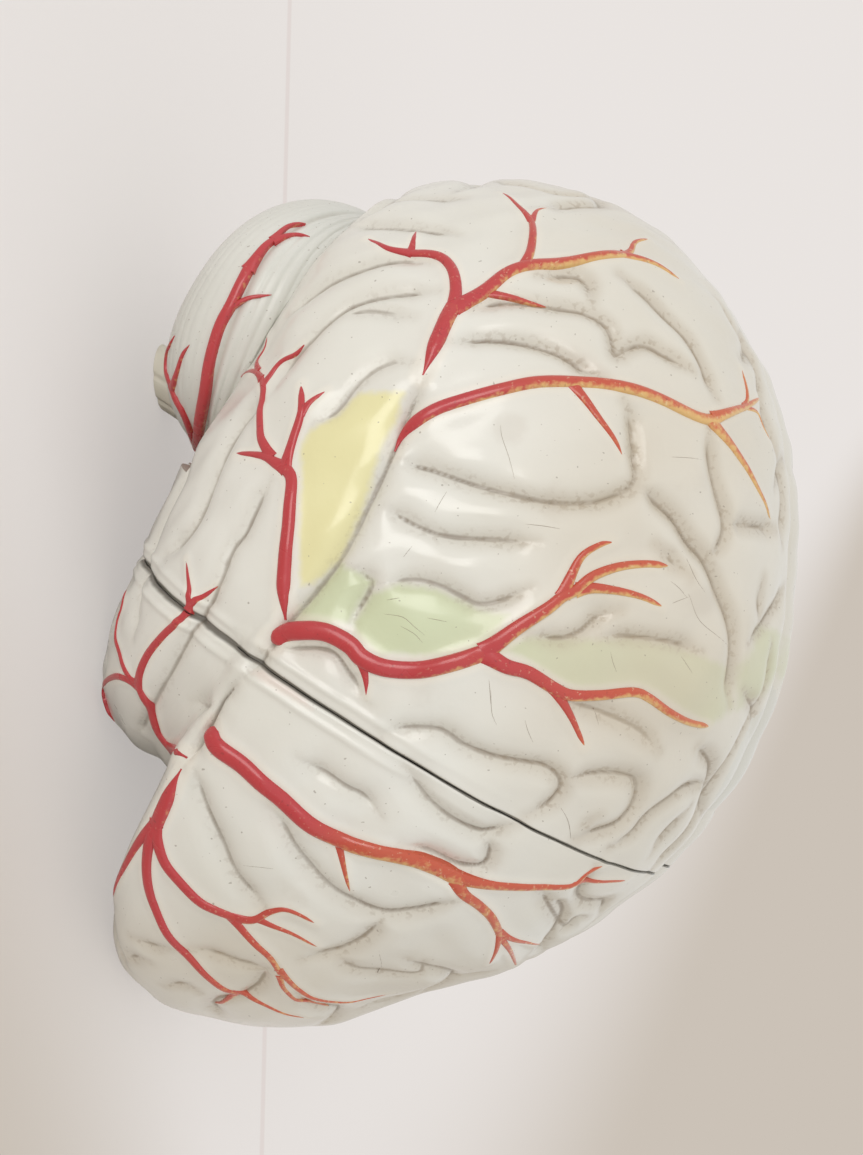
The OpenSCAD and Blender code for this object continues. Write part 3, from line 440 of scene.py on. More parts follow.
def fold_relief(p):
    """Depth of the grooves at places on the dome, and the distance to the nearest one.
    A groove is the round of two folds that meet: depth times 1 less the root of 1 less u squared, where u falls
    from 1 on the groove to 0 at its reach, and the distance is taken as the root of its square and that of the
    floor's half width. It fades at its ends, and grooves add by the root of their cubes."""
    fall, near = np.zeros(len(p)), np.full(len(p), GROOVE_REACH)
    for s, route in GROOVES:
        reach = GROOVE_REACH * (1.35 if s > 1.5 else 1.0)
        d, along, total = route_distance(p, route, reach)
        end = 0.25 + 0.75 * ease(np.minimum(along, total - along) / 5)
        u = 1 - np.minimum(1, np.hypot(d, GROOVE_FLOOR) / reach)
        f = GROOVE_DEPTH * s * end * (1 - np.sqrt(1 - u * u))
        fall += f**3
        near = np.minimum(near, d + 1.3 * (1 - end))
    return fall ** (1 / 3), near


def inset(x, y, z):
    """Shift towards the hub: the roll into the lengthwise fissure and the hollow under the base."""
    a = turn(y - CENTRE_Y, z - CENTRE_Z)
    roll = np.maximum(0, 1 - x / FISSURE_REACH)
    hollow = BASE_HOLLOW * np.interp(a, HOLLOW_ROUND[:, 0], HOLLOW_ROUND[:, 1])
    return FISSURE_ROLL * roll**2 + hollow * ease(1 - x / HOLLOW_REACH)


def swell(p):
    """Slow rise and fall of the modelled folds, a sum of waves of 14 to 30 mm."""
    x, y, z = p[..., 0], p[..., 1], p[..., 2]
    return (0.30 * np.sin(0.31 * y + 0.9 * np.sin(0.17 * z)) * np.sin(0.27 * z + 0.13 * x)
            + 0.16 * np.sin(0.52 * y - 0.37 * z + 1.7) * np.sin(0.41 * x + 0.2 * y))


SEAM = np.array([0, math.cos(math.radians(SEAM_TILT)), math.sin(math.radians(SEAM_TILT))])
HUB = np.array([0, HUB_Y, HUB_Z])


def settle(p):
    """A place on the dome after the fissure roll and the hollow."""
    d = p - HUB
    d[:, 0] = 0
    r = np.maximum(np.linalg.norm(d, axis=1), 1)
    return p - d * (inset(np.abs(p[:, 0]), p[:, 1], p[:, 2]) / r)[:, None]


def seam_form(p):
    """Height beside the parting: rounded edges, worn wider towards the base, and a raised lip 2.7 mm from it."""
    t = np.abs((p - HUB) @ SEAM)
    base_end = ease((110 - p[:, 2]) / 100)
    edge = (0.2 + 0.85 * base_end) * np.maximum(0, 1 - t / (0.35 + 1.1 * base_end)) ** 2
    return 0.42 * np.exp(-(((t - 2.7) / 0.75) ** 2)) * ease(base_end * 1.6) - edge


# Meshes
def new_object(name, verts, faces, body, smooth=True):
    """A mesh object from places in millimetres and faces, riding on a body."""
    mesh = bpy.data.meshes.new(name)
    mesh.from_pydata((np.asarray(verts) * MM).tolist(), [], faces)
    mesh.polygons.foreach_set("use_smooth", np.full(len(mesh.polygons), smooth))
    mesh.validate()
    obj = bpy.data.objects.new(name, mesh)
    bpy.context.scene.collection.objects.link(obj)
    if body:
        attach(obj, body)
    return obj


def grid_faces(rows, cols, wrap=False, flip=False, first=0):
    """Quads of a grid of rows by cols points, as an array."""
    i, j = np.meshgrid(np.arange(rows - 1), np.arange(cols if wrap else cols - 1), indexing="ij")
    a, b = i * cols + j, i * cols + (j + 1) % cols
    q = np.stack([a, b, b + cols, a + cols], -1).reshape(-1, 4) + first
    return q[:, ::-1] if flip else q


def put_attributes(mesh, values):
    """Point attributes from named arrays."""
    for name, v in values.items():
        a = mesh.attributes.new(name, "FLOAT", "POINT")
        a.data.foreach_set("value", np.asarray(v, np.float32))


def polygon_distance(q, outline):
    """Distance in dots from the edge of a field, above 0 inside it."""
    o = np.asarray(outline, float)
    a, b = o, np.roll(o, -1, 0)
    d, inside = np.full(len(q), 1e9), np.zeros(len(q), bool)
    for s, e in zip(a, b):
        w = e - s
        u = np.clip((q - s) @ w / (w @ w), 0, 1)
        d = np.minimum(d, np.linalg.norm(q - s - u[:, None] * w, axis=1))
        span = (s[1] > q[:, 1]) != (e[1] > q[:, 1])
        x = s[0] + (q[:, 1] - s[1]) * w[0] / (w[1] if w[1] else 1e-9)
        inside ^= span & (q[:, 0] < x)
    return np.where(inside, d, -d)


ARTERY_ROUTES = [(w0, w1, from_view(curve_through(r, 5))) for w0, w1, r in ARTERIES]


def paint_values(p, n, near):
    """What the shell's paint reads: distances in mm to the fields' edges, the nearest groove and artery, wear, a
    soiling strength that also carries painted shade towards the crown and front, and the distance across the parting
    for its painted shade.
    """
    dots = to_view(p)
    facing = (n @ LOOK) < 0.05
    def field(f):
        return np.where(facing, np.clip(polygon_distance(dots, f) / DOTS, -4, 4), -4)
    green = np.max([field(f) for f in GREENS], 0)
    artery = np.full(len(p), 4.0)
    for w0, w1, route in ARTERY_ROUTES:
        d, along, total = route_distance(p, route, 4.0 + TRUNK_W / 2)
        w = TRUNK_W * (w0 + (w1 - w0) * along / max(total, 1e-6))
        artery = np.minimum(artery, np.maximum(0, d - w / 2))
    scuff = np.zeros(len(p))
    for x, y, reach in SCUFFS:
        scuff = np.maximum(scuff, np.exp(-((dots[:, 0] - x) ** 2 + (dots[:, 1] - y) ** 2) / reach**2))
    # Soiling and painted shade together, growing towards the crown and front side of the side view, where the light
    # falls off
    grime_and_shade = 0.25 + 0.75 * np.maximum(ease((dots[:, 0] - 330) / 380), ease((dots[:, 1] - 800) / 220) * 0.8)
    # Distance across the parting, for the band of painted shade along the gap
    seam_shade = np.abs((p - HUB) @ SEAM) / (0.3 + 0.75 * ease((75 - p[:, 2]) / 60))
    return {"groove": near, "yellow": field(YELLOW), "green": green, "pink": field(PINK), "artery": artery,
            "scuff": np.where(facing, scuff, 0.25), "grime_and_shade": np.where(facing, grime_and_shade, 0.6), "seam_shade": seam_shade}


def dome_half(side):
    """Half of a hemisphere. Rings run from the side of the brain to the middle plane at the share
    sin(90 i / n) to the power 2 / dome power of the outline's radius from the hub, and columns turn 180 degrees
    round the hub from the parting plane back to it. Flat faces close it on the parting and on the middle plane."""
    rings = 190
    step = 0.44
    edge = np.array([0, 0.1, 0.24, 0.42, 0.64, 0.9, 1.2, 1.55, 1.95])
    middle = np.linspace(2.4, 177.6, int(175 / step))
    cols = np.concatenate([edge, middle, 180 - edge[::-1]])
    start = 90 - SEAM_TILT - (180 if side < 0 else 0)
    psi = np.radians(start + cols)
    i = np.arange(1, rings + 1) / rings
    r = np.sin(np.pi / 2 * i)[:, None] ** (2 / DOME_POWER)
    r = r * np.interp(np.degrees(psi) % 360, *HUB_RING, period=360)[None]
    y, z = HUB_Y - r * np.cos(psi), HUB_Z + r * np.sin(psi)
    x = -HALF_W * np.maximum(0, 1 - share(y, z) ** DOME_POWER) ** (1 / DOME_POWER)
    x[-1] = 0
    p = np.stack([x, y, z], -1).reshape(-1, 3)
    pole = np.array([[-HALF_W * max(0, 1 - share(HUB_Y, HUB_Z) ** DOME_POWER) ** (1 / DOME_POWER), HUB_Y, HUB_Z]])
    p = np.concatenate([pole, p])
    n = normal(dome, p)
    rim = np.concatenate([[False], np.repeat(np.arange(rings) == rings - 1, len(cols))])
    edge_col = np.concatenate([[True], np.tile((cols == 0) | (cols == 180), rings)])
    n[rim, 0] = 0
    fall, near = fold_relief(p)
    height = swell(p) - fall + seam_form(p)
    values = paint_values(p, n, near)
    height += 0.25 * np.exp(-(values["artery"] / 1.1) ** 2)
    move = n * height[:, None]
    move[edge_col] -= (move[edge_col] @ SEAM)[:, None] * SEAM
    d = p - HUB
    d[:, 0] = 0
    rad = np.maximum(np.linalg.norm(d, axis=1), 1e-6)
    ramp = np.concatenate([[0], np.repeat(np.minimum(1, i / 0.16), len(cols))])
    p = p + move - d / rad[:, None] * (inset(np.abs(p[:, 0]), p[:, 1], p[:, 2]) * ramp)[:, None]
    gap = SEAM_GAP / 2
    off = (p - HUB) @ SEAM * side
    p = p + SEAM * (side * np.where(edge_col, gap - off, gap * np.maximum(0, 1 - np.maximum(off, 0) / 6)))[:, None]
    p[:, 0] = np.where(rim, -INNER_X, np.minimum(-INNER_X, p[:, 0] - INNER_X))
    m = len(cols)
    faces = [[0, 1 + j, 2 + j] for j in range(m - 1)]
    faces += grid_faces(rings, m, flip=True, first=1).tolist()
    last = 1 + (rings - 1) * m
    faces.append(list(range(last, last + m))[::-1])
    faces.append([1 + k * m for k in range(rings - 1, -1, -1)] + [0] + [(k + 1) * m for k in range(rings)])
    return p, faces, values


def cylinder(radius, low, high, place, count=64):
    """A closed cylinder along local Z, put in place by a function."""
    a = np.arange(count) * 2 * np.pi / count
    ring = np.stack([radius * np.cos(a), radius * np.sin(a)], 1)
    p = np.concatenate([np.column_stack([ring, np.full(count, low)]), np.column_stack([ring, np.full(count, high)])])
    faces = [[k, (k + 1) % count, count + (k + 1) % count, count + k] for k in range(count)]
    faces += [list(range(count - 1, -1, -1)), list(range(count, 2 * count))]
    return place(p), faces


def block(low, high, place=lambda p: p):
    """A closed box between two corners, put in place by a function."""
    p = np.array([[(low, high)[(k >> a) & 1][a] for a in range(3)] for k in range(8)], float)
    faces = [[0, 2, 3, 1], [4, 5, 7, 6], [0, 1, 5, 4], [2, 6, 7, 3], [0, 4, 6, 2], [1, 3, 7, 5]]
    return place(p), faces


def at_stem(p):
    return from_tent(p + np.array([0, STEM_BACK, 0]))


def on_tent(p):
    return from_tent(p + np.array([CEREBELLUM_PEG[0], CEREBELLUM_PEG[1], 0]))


def on_stem(p):
    return at_stem(p + np.array([STEM_PEG_X, 0, STEM_TOP]))


def on_seam(place):
    """Local Z square to the parting plane, with the origin on it."""
    y = HUB_Y - math.tan(math.radians(SEAM_TILT)) * (place[1] - HUB_Z)
    across, up = np.array([1.0, 0, 0]), np.cross(SEAM, [1.0, 0, 0])
    return lambda p: np.array([place[0], y, place[1]]) + p[:, :1] * across + p[:, 1:2] * up + p[:, 2:] * SEAM


def on_middle(place):
    """Local Z along X, with the origin on the middle plane."""
    return lambda p: np.column_stack([p[:, 2], p[:, 0] + place[0], p[:, 1] + place[1]])


HOLE = PEG_R + PEG_FIT
FLOOR_CUT = block((-400, -400, -400), (400, 400, 0))
SEAM_HOLES = [cylinder(HOLE, -PEG_REACH, PEG_REACH, on_seam(s), 48) for s in (UPPER_PEG, LOWER_PEG)]
MIDDLE_HOLES = [cylinder(HOLE, -PEG_REACH, PEG_REACH, on_middle(s), 48) for s in (CROWN_PEG, REAR_PEG)]
TENT_HOLE = cylinder(HOLE, -PEG_REACH, PEG_REACH, on_tent, 48)
STEM_HOLE = cylinder(STEM_PEG_R + PEG_FIT, -STEM_PEG_REACH, STEM_PEG_REACH, on_stem, 48)
PONS_ROOM = cylinder(PONS_R + STEM_GAP, -200, STEM_GAP, at_stem, 96)
MIDBRAIN_ROOM = cylinder(MIDBRAIN_R + STEM_GAP, -100, STEM_TOP, at_stem, 96)
UNDER_TENT = block((-200, TENT_FRONT, -400), (200, 400, 0), from_tent)


def cut_away(obj, cutters):
    """Takes closed forms out of a piece, one after another."""
    for verts, faces in cutters:
        tool = new_object("cutter", verts, faces, None, smooth=False)
        mod = obj.modifiers.new("cut", "BOOLEAN")
        mod.operation, mod.solver, mod.object = "DIFFERENCE", "MANIFOLD", tool
        bpy.context.view_layer.update()
        mesh = bpy.data.meshes.new_from_object(obj.evaluated_get(bpy.context.evaluated_depsgraph_get()))
        obj.modifiers.clear()
        old, obj.data = obj.data, mesh
        bpy.data.meshes.remove(old)
        bpy.data.objects.remove(tool)
    obj.data.name = obj.name
    return obj


def mark_inner(obj):
    """Face attribute, 1 on the plain inner faces (the middle plane, the tent and the stem's rooms), a half on the
    parting, whose faces so keep half of the darkened colour as painted shade of the gap."""
    mesh = obj.data
    n, c = np.empty(len(mesh.polygons) * 3), np.empty(len(mesh.polygons) * 3)
    mesh.polygons.foreach_get("normal", n)
    mesh.polygons.foreach_get("center", c)
    n, c = n.reshape(-1, 3), c.reshape(-1, 3) / MM
    start = from_tent(np.zeros((1, 3)))[0]
    up, back = from_tent(np.array([[0, 0, 1.0], [0, 1.0, 0]])) - start
    stem = np.hypot(c[:, 0], (c - start) @ back - STEM_BACK)
    inner = (np.abs(n[:, 0]) > 0.99) & (np.abs(c[:, 0] + INNER_X) < 0.05)
    parting = (np.abs(n @ SEAM) > 0.99) & (np.abs((c - HUB) @ SEAM) < SEAM_GAP)
    inner |= (np.abs(n @ up) > 0.99) & (np.abs((c - start) @ up) < 0.5)
    inner |= (np.abs(n @ back) > 0.99) & (np.abs((c - start) @ back - TENT_FRONT) < 0.5)
    inner |= stem < PONS_R + STEM_GAP + 0.1
    # The parting faces take a half share, keeping half of the dark band as painted shade in the gap
    values = np.where(parting, 0.5, inner).astype(np.float32)
    mesh.attributes.new("inner", "FLOAT", "FACE").data.foreach_set("value", values)
    return obj


def soften(obj, degrees=48):
    """Smooth shading with sharp cuts."""
    mesh = obj.data
    mesh.polygons.foreach_set("use_smooth", np.ones(len(mesh.polygons), bool))
    mesh.set_sharp_from_angle(angle=math.radians(degrees))
    return obj


def mirrored(obj, name, body):
    """The left piece: the right one with X turned round and its faces turned back outwards."""
    mesh = obj.data.copy()
    co = np.empty(len(mesh.vertices) * 3, np.float32)
    mesh.vertices.foreach_get("co", co)
    co[::3] *= -1
    mesh.vertices.foreach_set("co", co)
    mesh.flip_normals()
    mesh.name = name
    twin = bpy.data.objects.new(name, mesh)
    bpy.context.scene.collection.objects.link(twin)
    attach(twin, body)
    return soften(twin)


# Arteries
def meets_another(dot, routes, own):
    """Whether the end of a route lies on one of the others, within 8 dots."""
    for k, (_, _, dots) in enumerate(routes):
        if k != own and np.linalg.norm(curve_through(dots, 3) - np.asarray(dot, float), axis=1).min() < 8:
            return True
    return False


# Arteries end this far from the middle plane
MEDIAN_CLEAR = 11.0
# Direction in which the low side of an artery took the ochre spray
SPRAY = DOWN * 0.85 + RIGHT * 0.5


def artery_tubes(routes, f, keep_side=0):
    """Half-round ridges carried along routes: across the route the width times cos, above the skin the width times
    the rise times sin, with a foot under the skin. Width runs evenly to the tip, flares at a fork, and closes by the
    root of the distance at a free tip."""
    verts, faces, tone, across = [], [], [], []
    theta = np.linspace(0, np.pi, 10)
    for own, (w0, w1, dots) in enumerate(routes):
        from_fork, to_fork = meets_another(dots[0], routes, own), meets_another(dots[-1], routes, own)
        w0, w1 = w0 * (0.90 - 0.10 * w0), w1 * (0.90 - 0.10 * w1)
        flat = curve_through(dots, 2.4)
        base = from_view(flat, f)
        up = normal(f, base)
        if f is dome:
            kept = np.logical_and.accumulate(base[:, 0] < -MEDIAN_CLEAR)
            base, up, flat = base[kept], up[kept], flat[kept]
            kernel = np.hanning(9) / np.hanning(9).sum()
            fall = np.convolve(np.pad(fold_relief(base)[0], 4, mode="edge"), kernel, "valid")
            base = settle(base) + up * (swell(base) - 0.8 * fall + np.maximum(0, seam_form(base)))[:, None]
        base[:, 0] -= INNER_X
        if keep_side:
            off = (base - HUB) @ SEAM * keep_side
            if off.max() < 0.3:
                continue
            if off.min() < 0:
                ok = np.flatnonzero(off > -1.6)
                from_fork, to_fork = from_fork or ok[0] > 0, to_fork or ok[-1] < len(base) - 1
                base, up, flat = base[ok], up[ok], flat[ok]
        count = len(base)
        if count < 3:
            continue
        along = np.gradient(base, axis=0)
        along /= np.maximum(np.linalg.norm(along, axis=1, keepdims=True), 1e-9)
        side = np.cross(along, up)
        side /= np.maximum(np.linalg.norm(side, axis=1, keepdims=True), 1e-9)
        s = np.concatenate([[0], np.cumsum(np.linalg.norm(np.diff(base, axis=0), axis=1))])
        u = s / s[-1]
        w = TRUNK_W * (w0 + (w1 - w0) * u**0.85)
        h = w * (1 - 0.4 * np.exp(-((s / 2.5) ** 2)) * from_fork
                 - 0.4 * np.exp(-(((s[-1] - s) / 2.5) ** 2)) * to_fork)
        if from_fork:
            w *= 1 + 0.4 * np.exp(-s / 1.8)
        elif w0 > 0.7:
            w *= np.sqrt(np.minimum(1, s / 1.4 + 0.06))
        else:
            w *= 0.12 + 0.88 * ease(s / 7) ** 0.8
        if not to_fork:
            w *= np.sqrt(np.clip((s[-1] - s) / 2.2, 0.015, 1))
        h = np.minimum(h, w)
        ring = [base + side * (w / 2 * math.cos(th))[:, None]
                + up * (0.12 + ARTERY_RISE * h * math.sin(th) ** 0.85)[:, None] for th in theta]
        ring += [base - side * (w / 2)[:, None] - up * 1.3, base + side * (w / 2)[:, None] - up * 1.3]
        ring = np.stack(ring, 1)
        if keep_side:
            off = (ring - HUB) @ SEAM * keep_side
            ring = ring + SEAM * (keep_side * np.maximum(0, SEAM_GAP / 2 - off))[..., None]
        first, k = sum(len(v) for v in verts), ring.shape[1]
        verts.append(ring.reshape(-1, 3))
        faces += grid_faces(count, k, wrap=True, flip=True, first=first).tolist()
        faces.append(list(range(first, first + k)))
        faces.append(list(range(first + (count - 1) * k, first + count * k))[::-1])
        frontal = ease((flat[:, 1] - 690) / 60) * ease((flat[:, 0] + 0.9 * flat[:, 1] - 935) / 260)
        warm = np.maximum(np.clip((flat[:, 0] - 380) / 330, 0, 1), 0.8 * frontal) + 0.15 * u
        tone.append(np.repeat(warm, k))
        across.append(((side @ SPRAY)[:, None] * np.concatenate([np.cos(theta), [-1, 1]])).reshape(-1))
    return np.concatenate(verts), faces, {"tone": np.concatenate(tone), "across": np.concatenate(across)}


def artery_piece(name, routes, f, body, keep_side=0):
    verts, faces, values = artery_tubes(routes, f, keep_side)
    obj = new_object(name, verts, faces, body)
    put_attributes(obj.data, values)
    return soften(obj, 62)


def scratch_piece(name, body, keep_side):
    """Hair scratches: three-sided threads 0.2 mm wide that taper to both ends and stand 0.03 mm out of the skin."""
    verts, faces = [], []
    for dots in SCRATCHES:
        base = from_view(curve_through(dots, 5), dome)
        up = normal(dome, base)
        base = settle(base) + up * (swell(base) - fold_relief(base)[0] + seam_form(base))[:, None]
        base[:, 0] -= INNER_X
        ok = (base - HUB) @ SEAM * keep_side > 0.8
        if ok.sum() < 3:
            continue
        base, up = base[ok], up[ok]
        side = np.cross(np.gradient(base, axis=0), up)
        side /= np.linalg.norm(side, axis=1, keepdims=True)
        u = np.linspace(0, 1, len(base))[:, None]
        half = 0.03 + 0.085 * np.sin(np.pi * u) ** 0.6
        ring = np.stack([base + side * half - up * 0.06, base + up * 0.03, base - side * half - up * 0.06], 1)
        first = sum(len(v) for v in verts)
        verts.append(ring.reshape(-1, 3))
        faces += grid_faces(len(base), 3, wrap=True, flip=True, first=first).tolist()
        faces.append([first, first + 1, first + 2])
        faces.append([first + 3 * len(base) - k for k in (1, 2, 3)])
    return soften(new_object(name, np.concatenate(verts), faces, body))


# Cerebellum
def cerebellum_half():
    """Right half of the cerebellum. u runs from its rear end to its front end and v turns round that line from
    under it, past its side, to the top; folia are leaves along v whose cuts fade towards the ends."""
    rows, cols = ((130, 360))
    a, b, c = CEREBELLUM
    e = 2 / CEREBELLUM_POWER
    u = np.linspace(0, np.pi, rows + 2)[1:-1, None]
    v = np.linspace(-np.pi / 2, -3 * np.pi / 2, cols)[None]
    rho = np.sin(u) ** e
    y = b * np.sign(np.cos(u)) * np.abs(np.cos(u)) ** e * np.ones_like(v)
    x = -a * rho * np.abs(np.cos(v)) ** e
    z = c * rho * np.sign(np.sin(v)) * np.abs(np.sin(v)) ** e
    local = np.stack([x, y, z], -1)
    p = from_tent(local + CEREBELLUM_MID)
    n = normal(ball, p)
    turn_v = (-v - np.pi / 2) / np.pi
    warp = 0.012 * np.sin(3.1 * u + 9 * turn_v) + 0.02 * np.sin(1.7 * u)
    leaf = (turn_v + warp) * 31
    part = leaf - np.floor(leaf)
    strength = 0.65 + 0.35 * np.sin(2.4 * np.abs(np.floor(leaf)) ** 1.3)
    depth = 0.26 * strength * np.exp(-((np.minimum(part, 1 - part) / 0.2) ** 2)) * ease(np.sin(u) * 1.5)
    deep = np.exp(-(((turn_v + warp) - 0.52) / 0.012) ** 2) * 0.5 * ease(np.sin(u) * 1.5)
    p = p - n * (depth + deep)[..., None]
    p[:, 0, 0] = p[:, -1, 0] = 0
    ends = from_tent(np.array([[0, b, 0], [0, -b, 0]]) + CEREBELLUM_MID)
    flat = np.concatenate([ends, p.reshape(-1, 3)])
    edge = np.concatenate([[True, True], np.tile((np.arange(cols) == 0) | (np.arange(cols) == cols - 1), rows)])
    flat[:, 0] = np.where(edge, -INNER_X, np.minimum(-INNER_X, flat[:, 0] - INNER_X))
    faces = grid_faces(rows, cols, flip=True, first=2).tolist()
    faces += [[0, 2 + j, 3 + j] for j in range(cols - 1)]
    tail = 2 + (rows - 1) * cols
    faces += [[1, tail + j + 1, tail + j] for j in range(cols - 1)]
    faces.append([1 + (k + 1) * cols for k in range(rows)] + [1]
                 + [2 + k * cols for k in range(rows - 1, -1, -1)] + [0])
    crease = np.concatenate([[0, 0], (depth + deep).reshape(-1)])
    return flat, faces, {"crease": crease}


# Brain stem
def stem_half():
    """Right half of the stem: a smooth profile turned 180 degrees about its own line, with the cross ridges of the
    pons and the lengthwise grooves of the lower stem cut into it."""
    knots = np.array([(-50, MEDULLA_R), (-PONS_DROP - 2 * PONS_HALF, MEDULLA_R),
                      (-PONS_DROP - PONS_HALF, PONS_R - 3.5), (-PONS_DROP - PONS_HALF / 2, PONS_R - 0.8),
                      (-PONS_DROP, PONS_R),
                      (-PONS_DROP + PONS_HALF / 2, PONS_R - 0.8), (-PONS_DROP + PONS_HALF, PONS_R - 3.5),
                      (0, MIDBRAIN_R), (STEM_TOP, MIDBRAIN_R)])
    z = np.linspace(-50, STEM_TOP, 160)[:, None]
    r = np.interp(z, knots[:, 0], knots[:, 1])
    phi = np.linspace(np.pi / 2, 3 * np.pi / 2, 72)[None]
    pons = np.exp(-(((z + PONS_DROP) / 7) ** 4))
    r = r - 0.18 * pons * (1 + np.cos(z * 3.4 + 0.6 * np.sin(4 * phi))) / 2
    lower = ease((-PONS_DROP - PONS_HALF - z) / 3)
    r = r - 0.5 * lower * np.exp(-(((phi - 4.0) / 0.09) ** 2)) - 0.4 * lower * np.exp(-(((phi - 3.2) / 0.09) ** 2))
    p = np.stack([r * np.cos(phi), r * np.sin(phi), z * np.ones_like(phi)], -1)
    rows, cols = p.shape[:2]
    p = at_stem(p.reshape(-1, 3))
    edge = np.tile((np.arange(cols) == 0) | (np.arange(cols) == cols - 1), rows)
    p[:, 0] = np.where(edge, -INNER_X, np.minimum(-INNER_X, p[:, 0]))
    faces = grid_faces(rows, cols).tolist()
    faces.append([k * cols for k in range(rows)] + [k * cols + cols - 1 for k in range(rows - 1, -1, -1)])
    faces.append(list(range(cols))[::-1])
    faces.append(list(range((rows - 1) * cols, rows * cols)))
    return p, faces


# Materials
class Nodes:
    """Shorthand for a material's nodes."""

    def __init__(self, name):
        self.mat = bpy.data.materials.new(name)
        self.mat.use_nodes = True
        self.tree = self.mat.node_tree
        self.shader = self.tree.nodes["Principled BSDF"]
        self.object = self.add("ShaderNodeTexCoord").outputs["Object"]

    def add(self, kind, **settings):
        node = self.tree.nodes.new(kind)
        for k, v in settings.items():
            setattr(node, k, v)
        return node

    def put(self, socket, value):
        if isinstance(value, bpy.types.NodeSocket):
            self.tree.links.new(value, socket)
        else:
            socket.default_value = value

    def value(self, name):
        return self.add("ShaderNodeAttribute", attribute_name=name).outputs["Fac"]

    def place(self, scale=(1, 1, 1), turn=(0, 0, 0)):
        node = self.add("ShaderNodeMapping")
        self.put(node.inputs["Vector"], self.object)
        node.inputs["Scale"].default_value, node.inputs["Rotation"].default_value = scale, turn
        return node.outputs["Vector"]

    def noise(self, scale, detail=3.0, vector=None, rough=0.5, distortion=0.0):
        node = self.add("ShaderNodeTexNoise")
        self.put(node.inputs["Vector"], vector or self.object)
        node.inputs["Scale"].default_value, node.inputs["Detail"].default_value = scale, detail
        node.inputs["Roughness"].default_value, node.inputs["Distortion"].default_value = rough, distortion
        return node.outputs["Fac"]

    def sum(self, kind, a, b=0.5, c=0.5):
        node = self.add("ShaderNodeMath", operation=kind)
        for socket, v in zip(node.inputs, (a, b, c)):
            self.put(socket, v)
        return node.outputs[0]

    def range(self, v, a, b, c=0.0, d=1.0, smooth=True):
        node = self.add("ShaderNodeMapRange", interpolation_type="SMOOTHSTEP" if smooth else "LINEAR")
        for name, x in zip(("Value", "From Min", "From Max", "To Min", "To Max"), (v, a, b, c, d)):
            self.put(node.inputs[name], x)
        return node.outputs["Result"]

    def mix(self, share, a, b, blend="MIX"):
        node = self.add("ShaderNodeMix", data_type="RGBA", blend_type=blend)
        self.put(node.inputs["Factor"], share)
        for socket, v in ((node.inputs["A"], a), (node.inputs["B"], b)):
            self.put(socket, (*v, 1.0) if isinstance(v, tuple) else v)
        return node.outputs["Result"]

    def bump(self, height, strength, distance, under=None):
        node = self.add("ShaderNodeBump")
        node.inputs["Strength"].default_value, node.inputs["Distance"].default_value = strength, distance
        self.put(node.inputs["Height"], height)
        if under:
            self.put(node.inputs["Normal"], under)
        return node.outputs["Normal"]

    def finish(self, colour, rough, normal=None, **fixed):
        self.put(self.shader.inputs["Base Color"], colour)
        self.put(self.shader.inputs["Roughness"], rough)
        if normal:
            self.put(self.shader.inputs["Normal"], normal)
        for name, v in fixed.items():
            self.shader.inputs[name.replace("_", " ")].default_value = v
        return self.mat


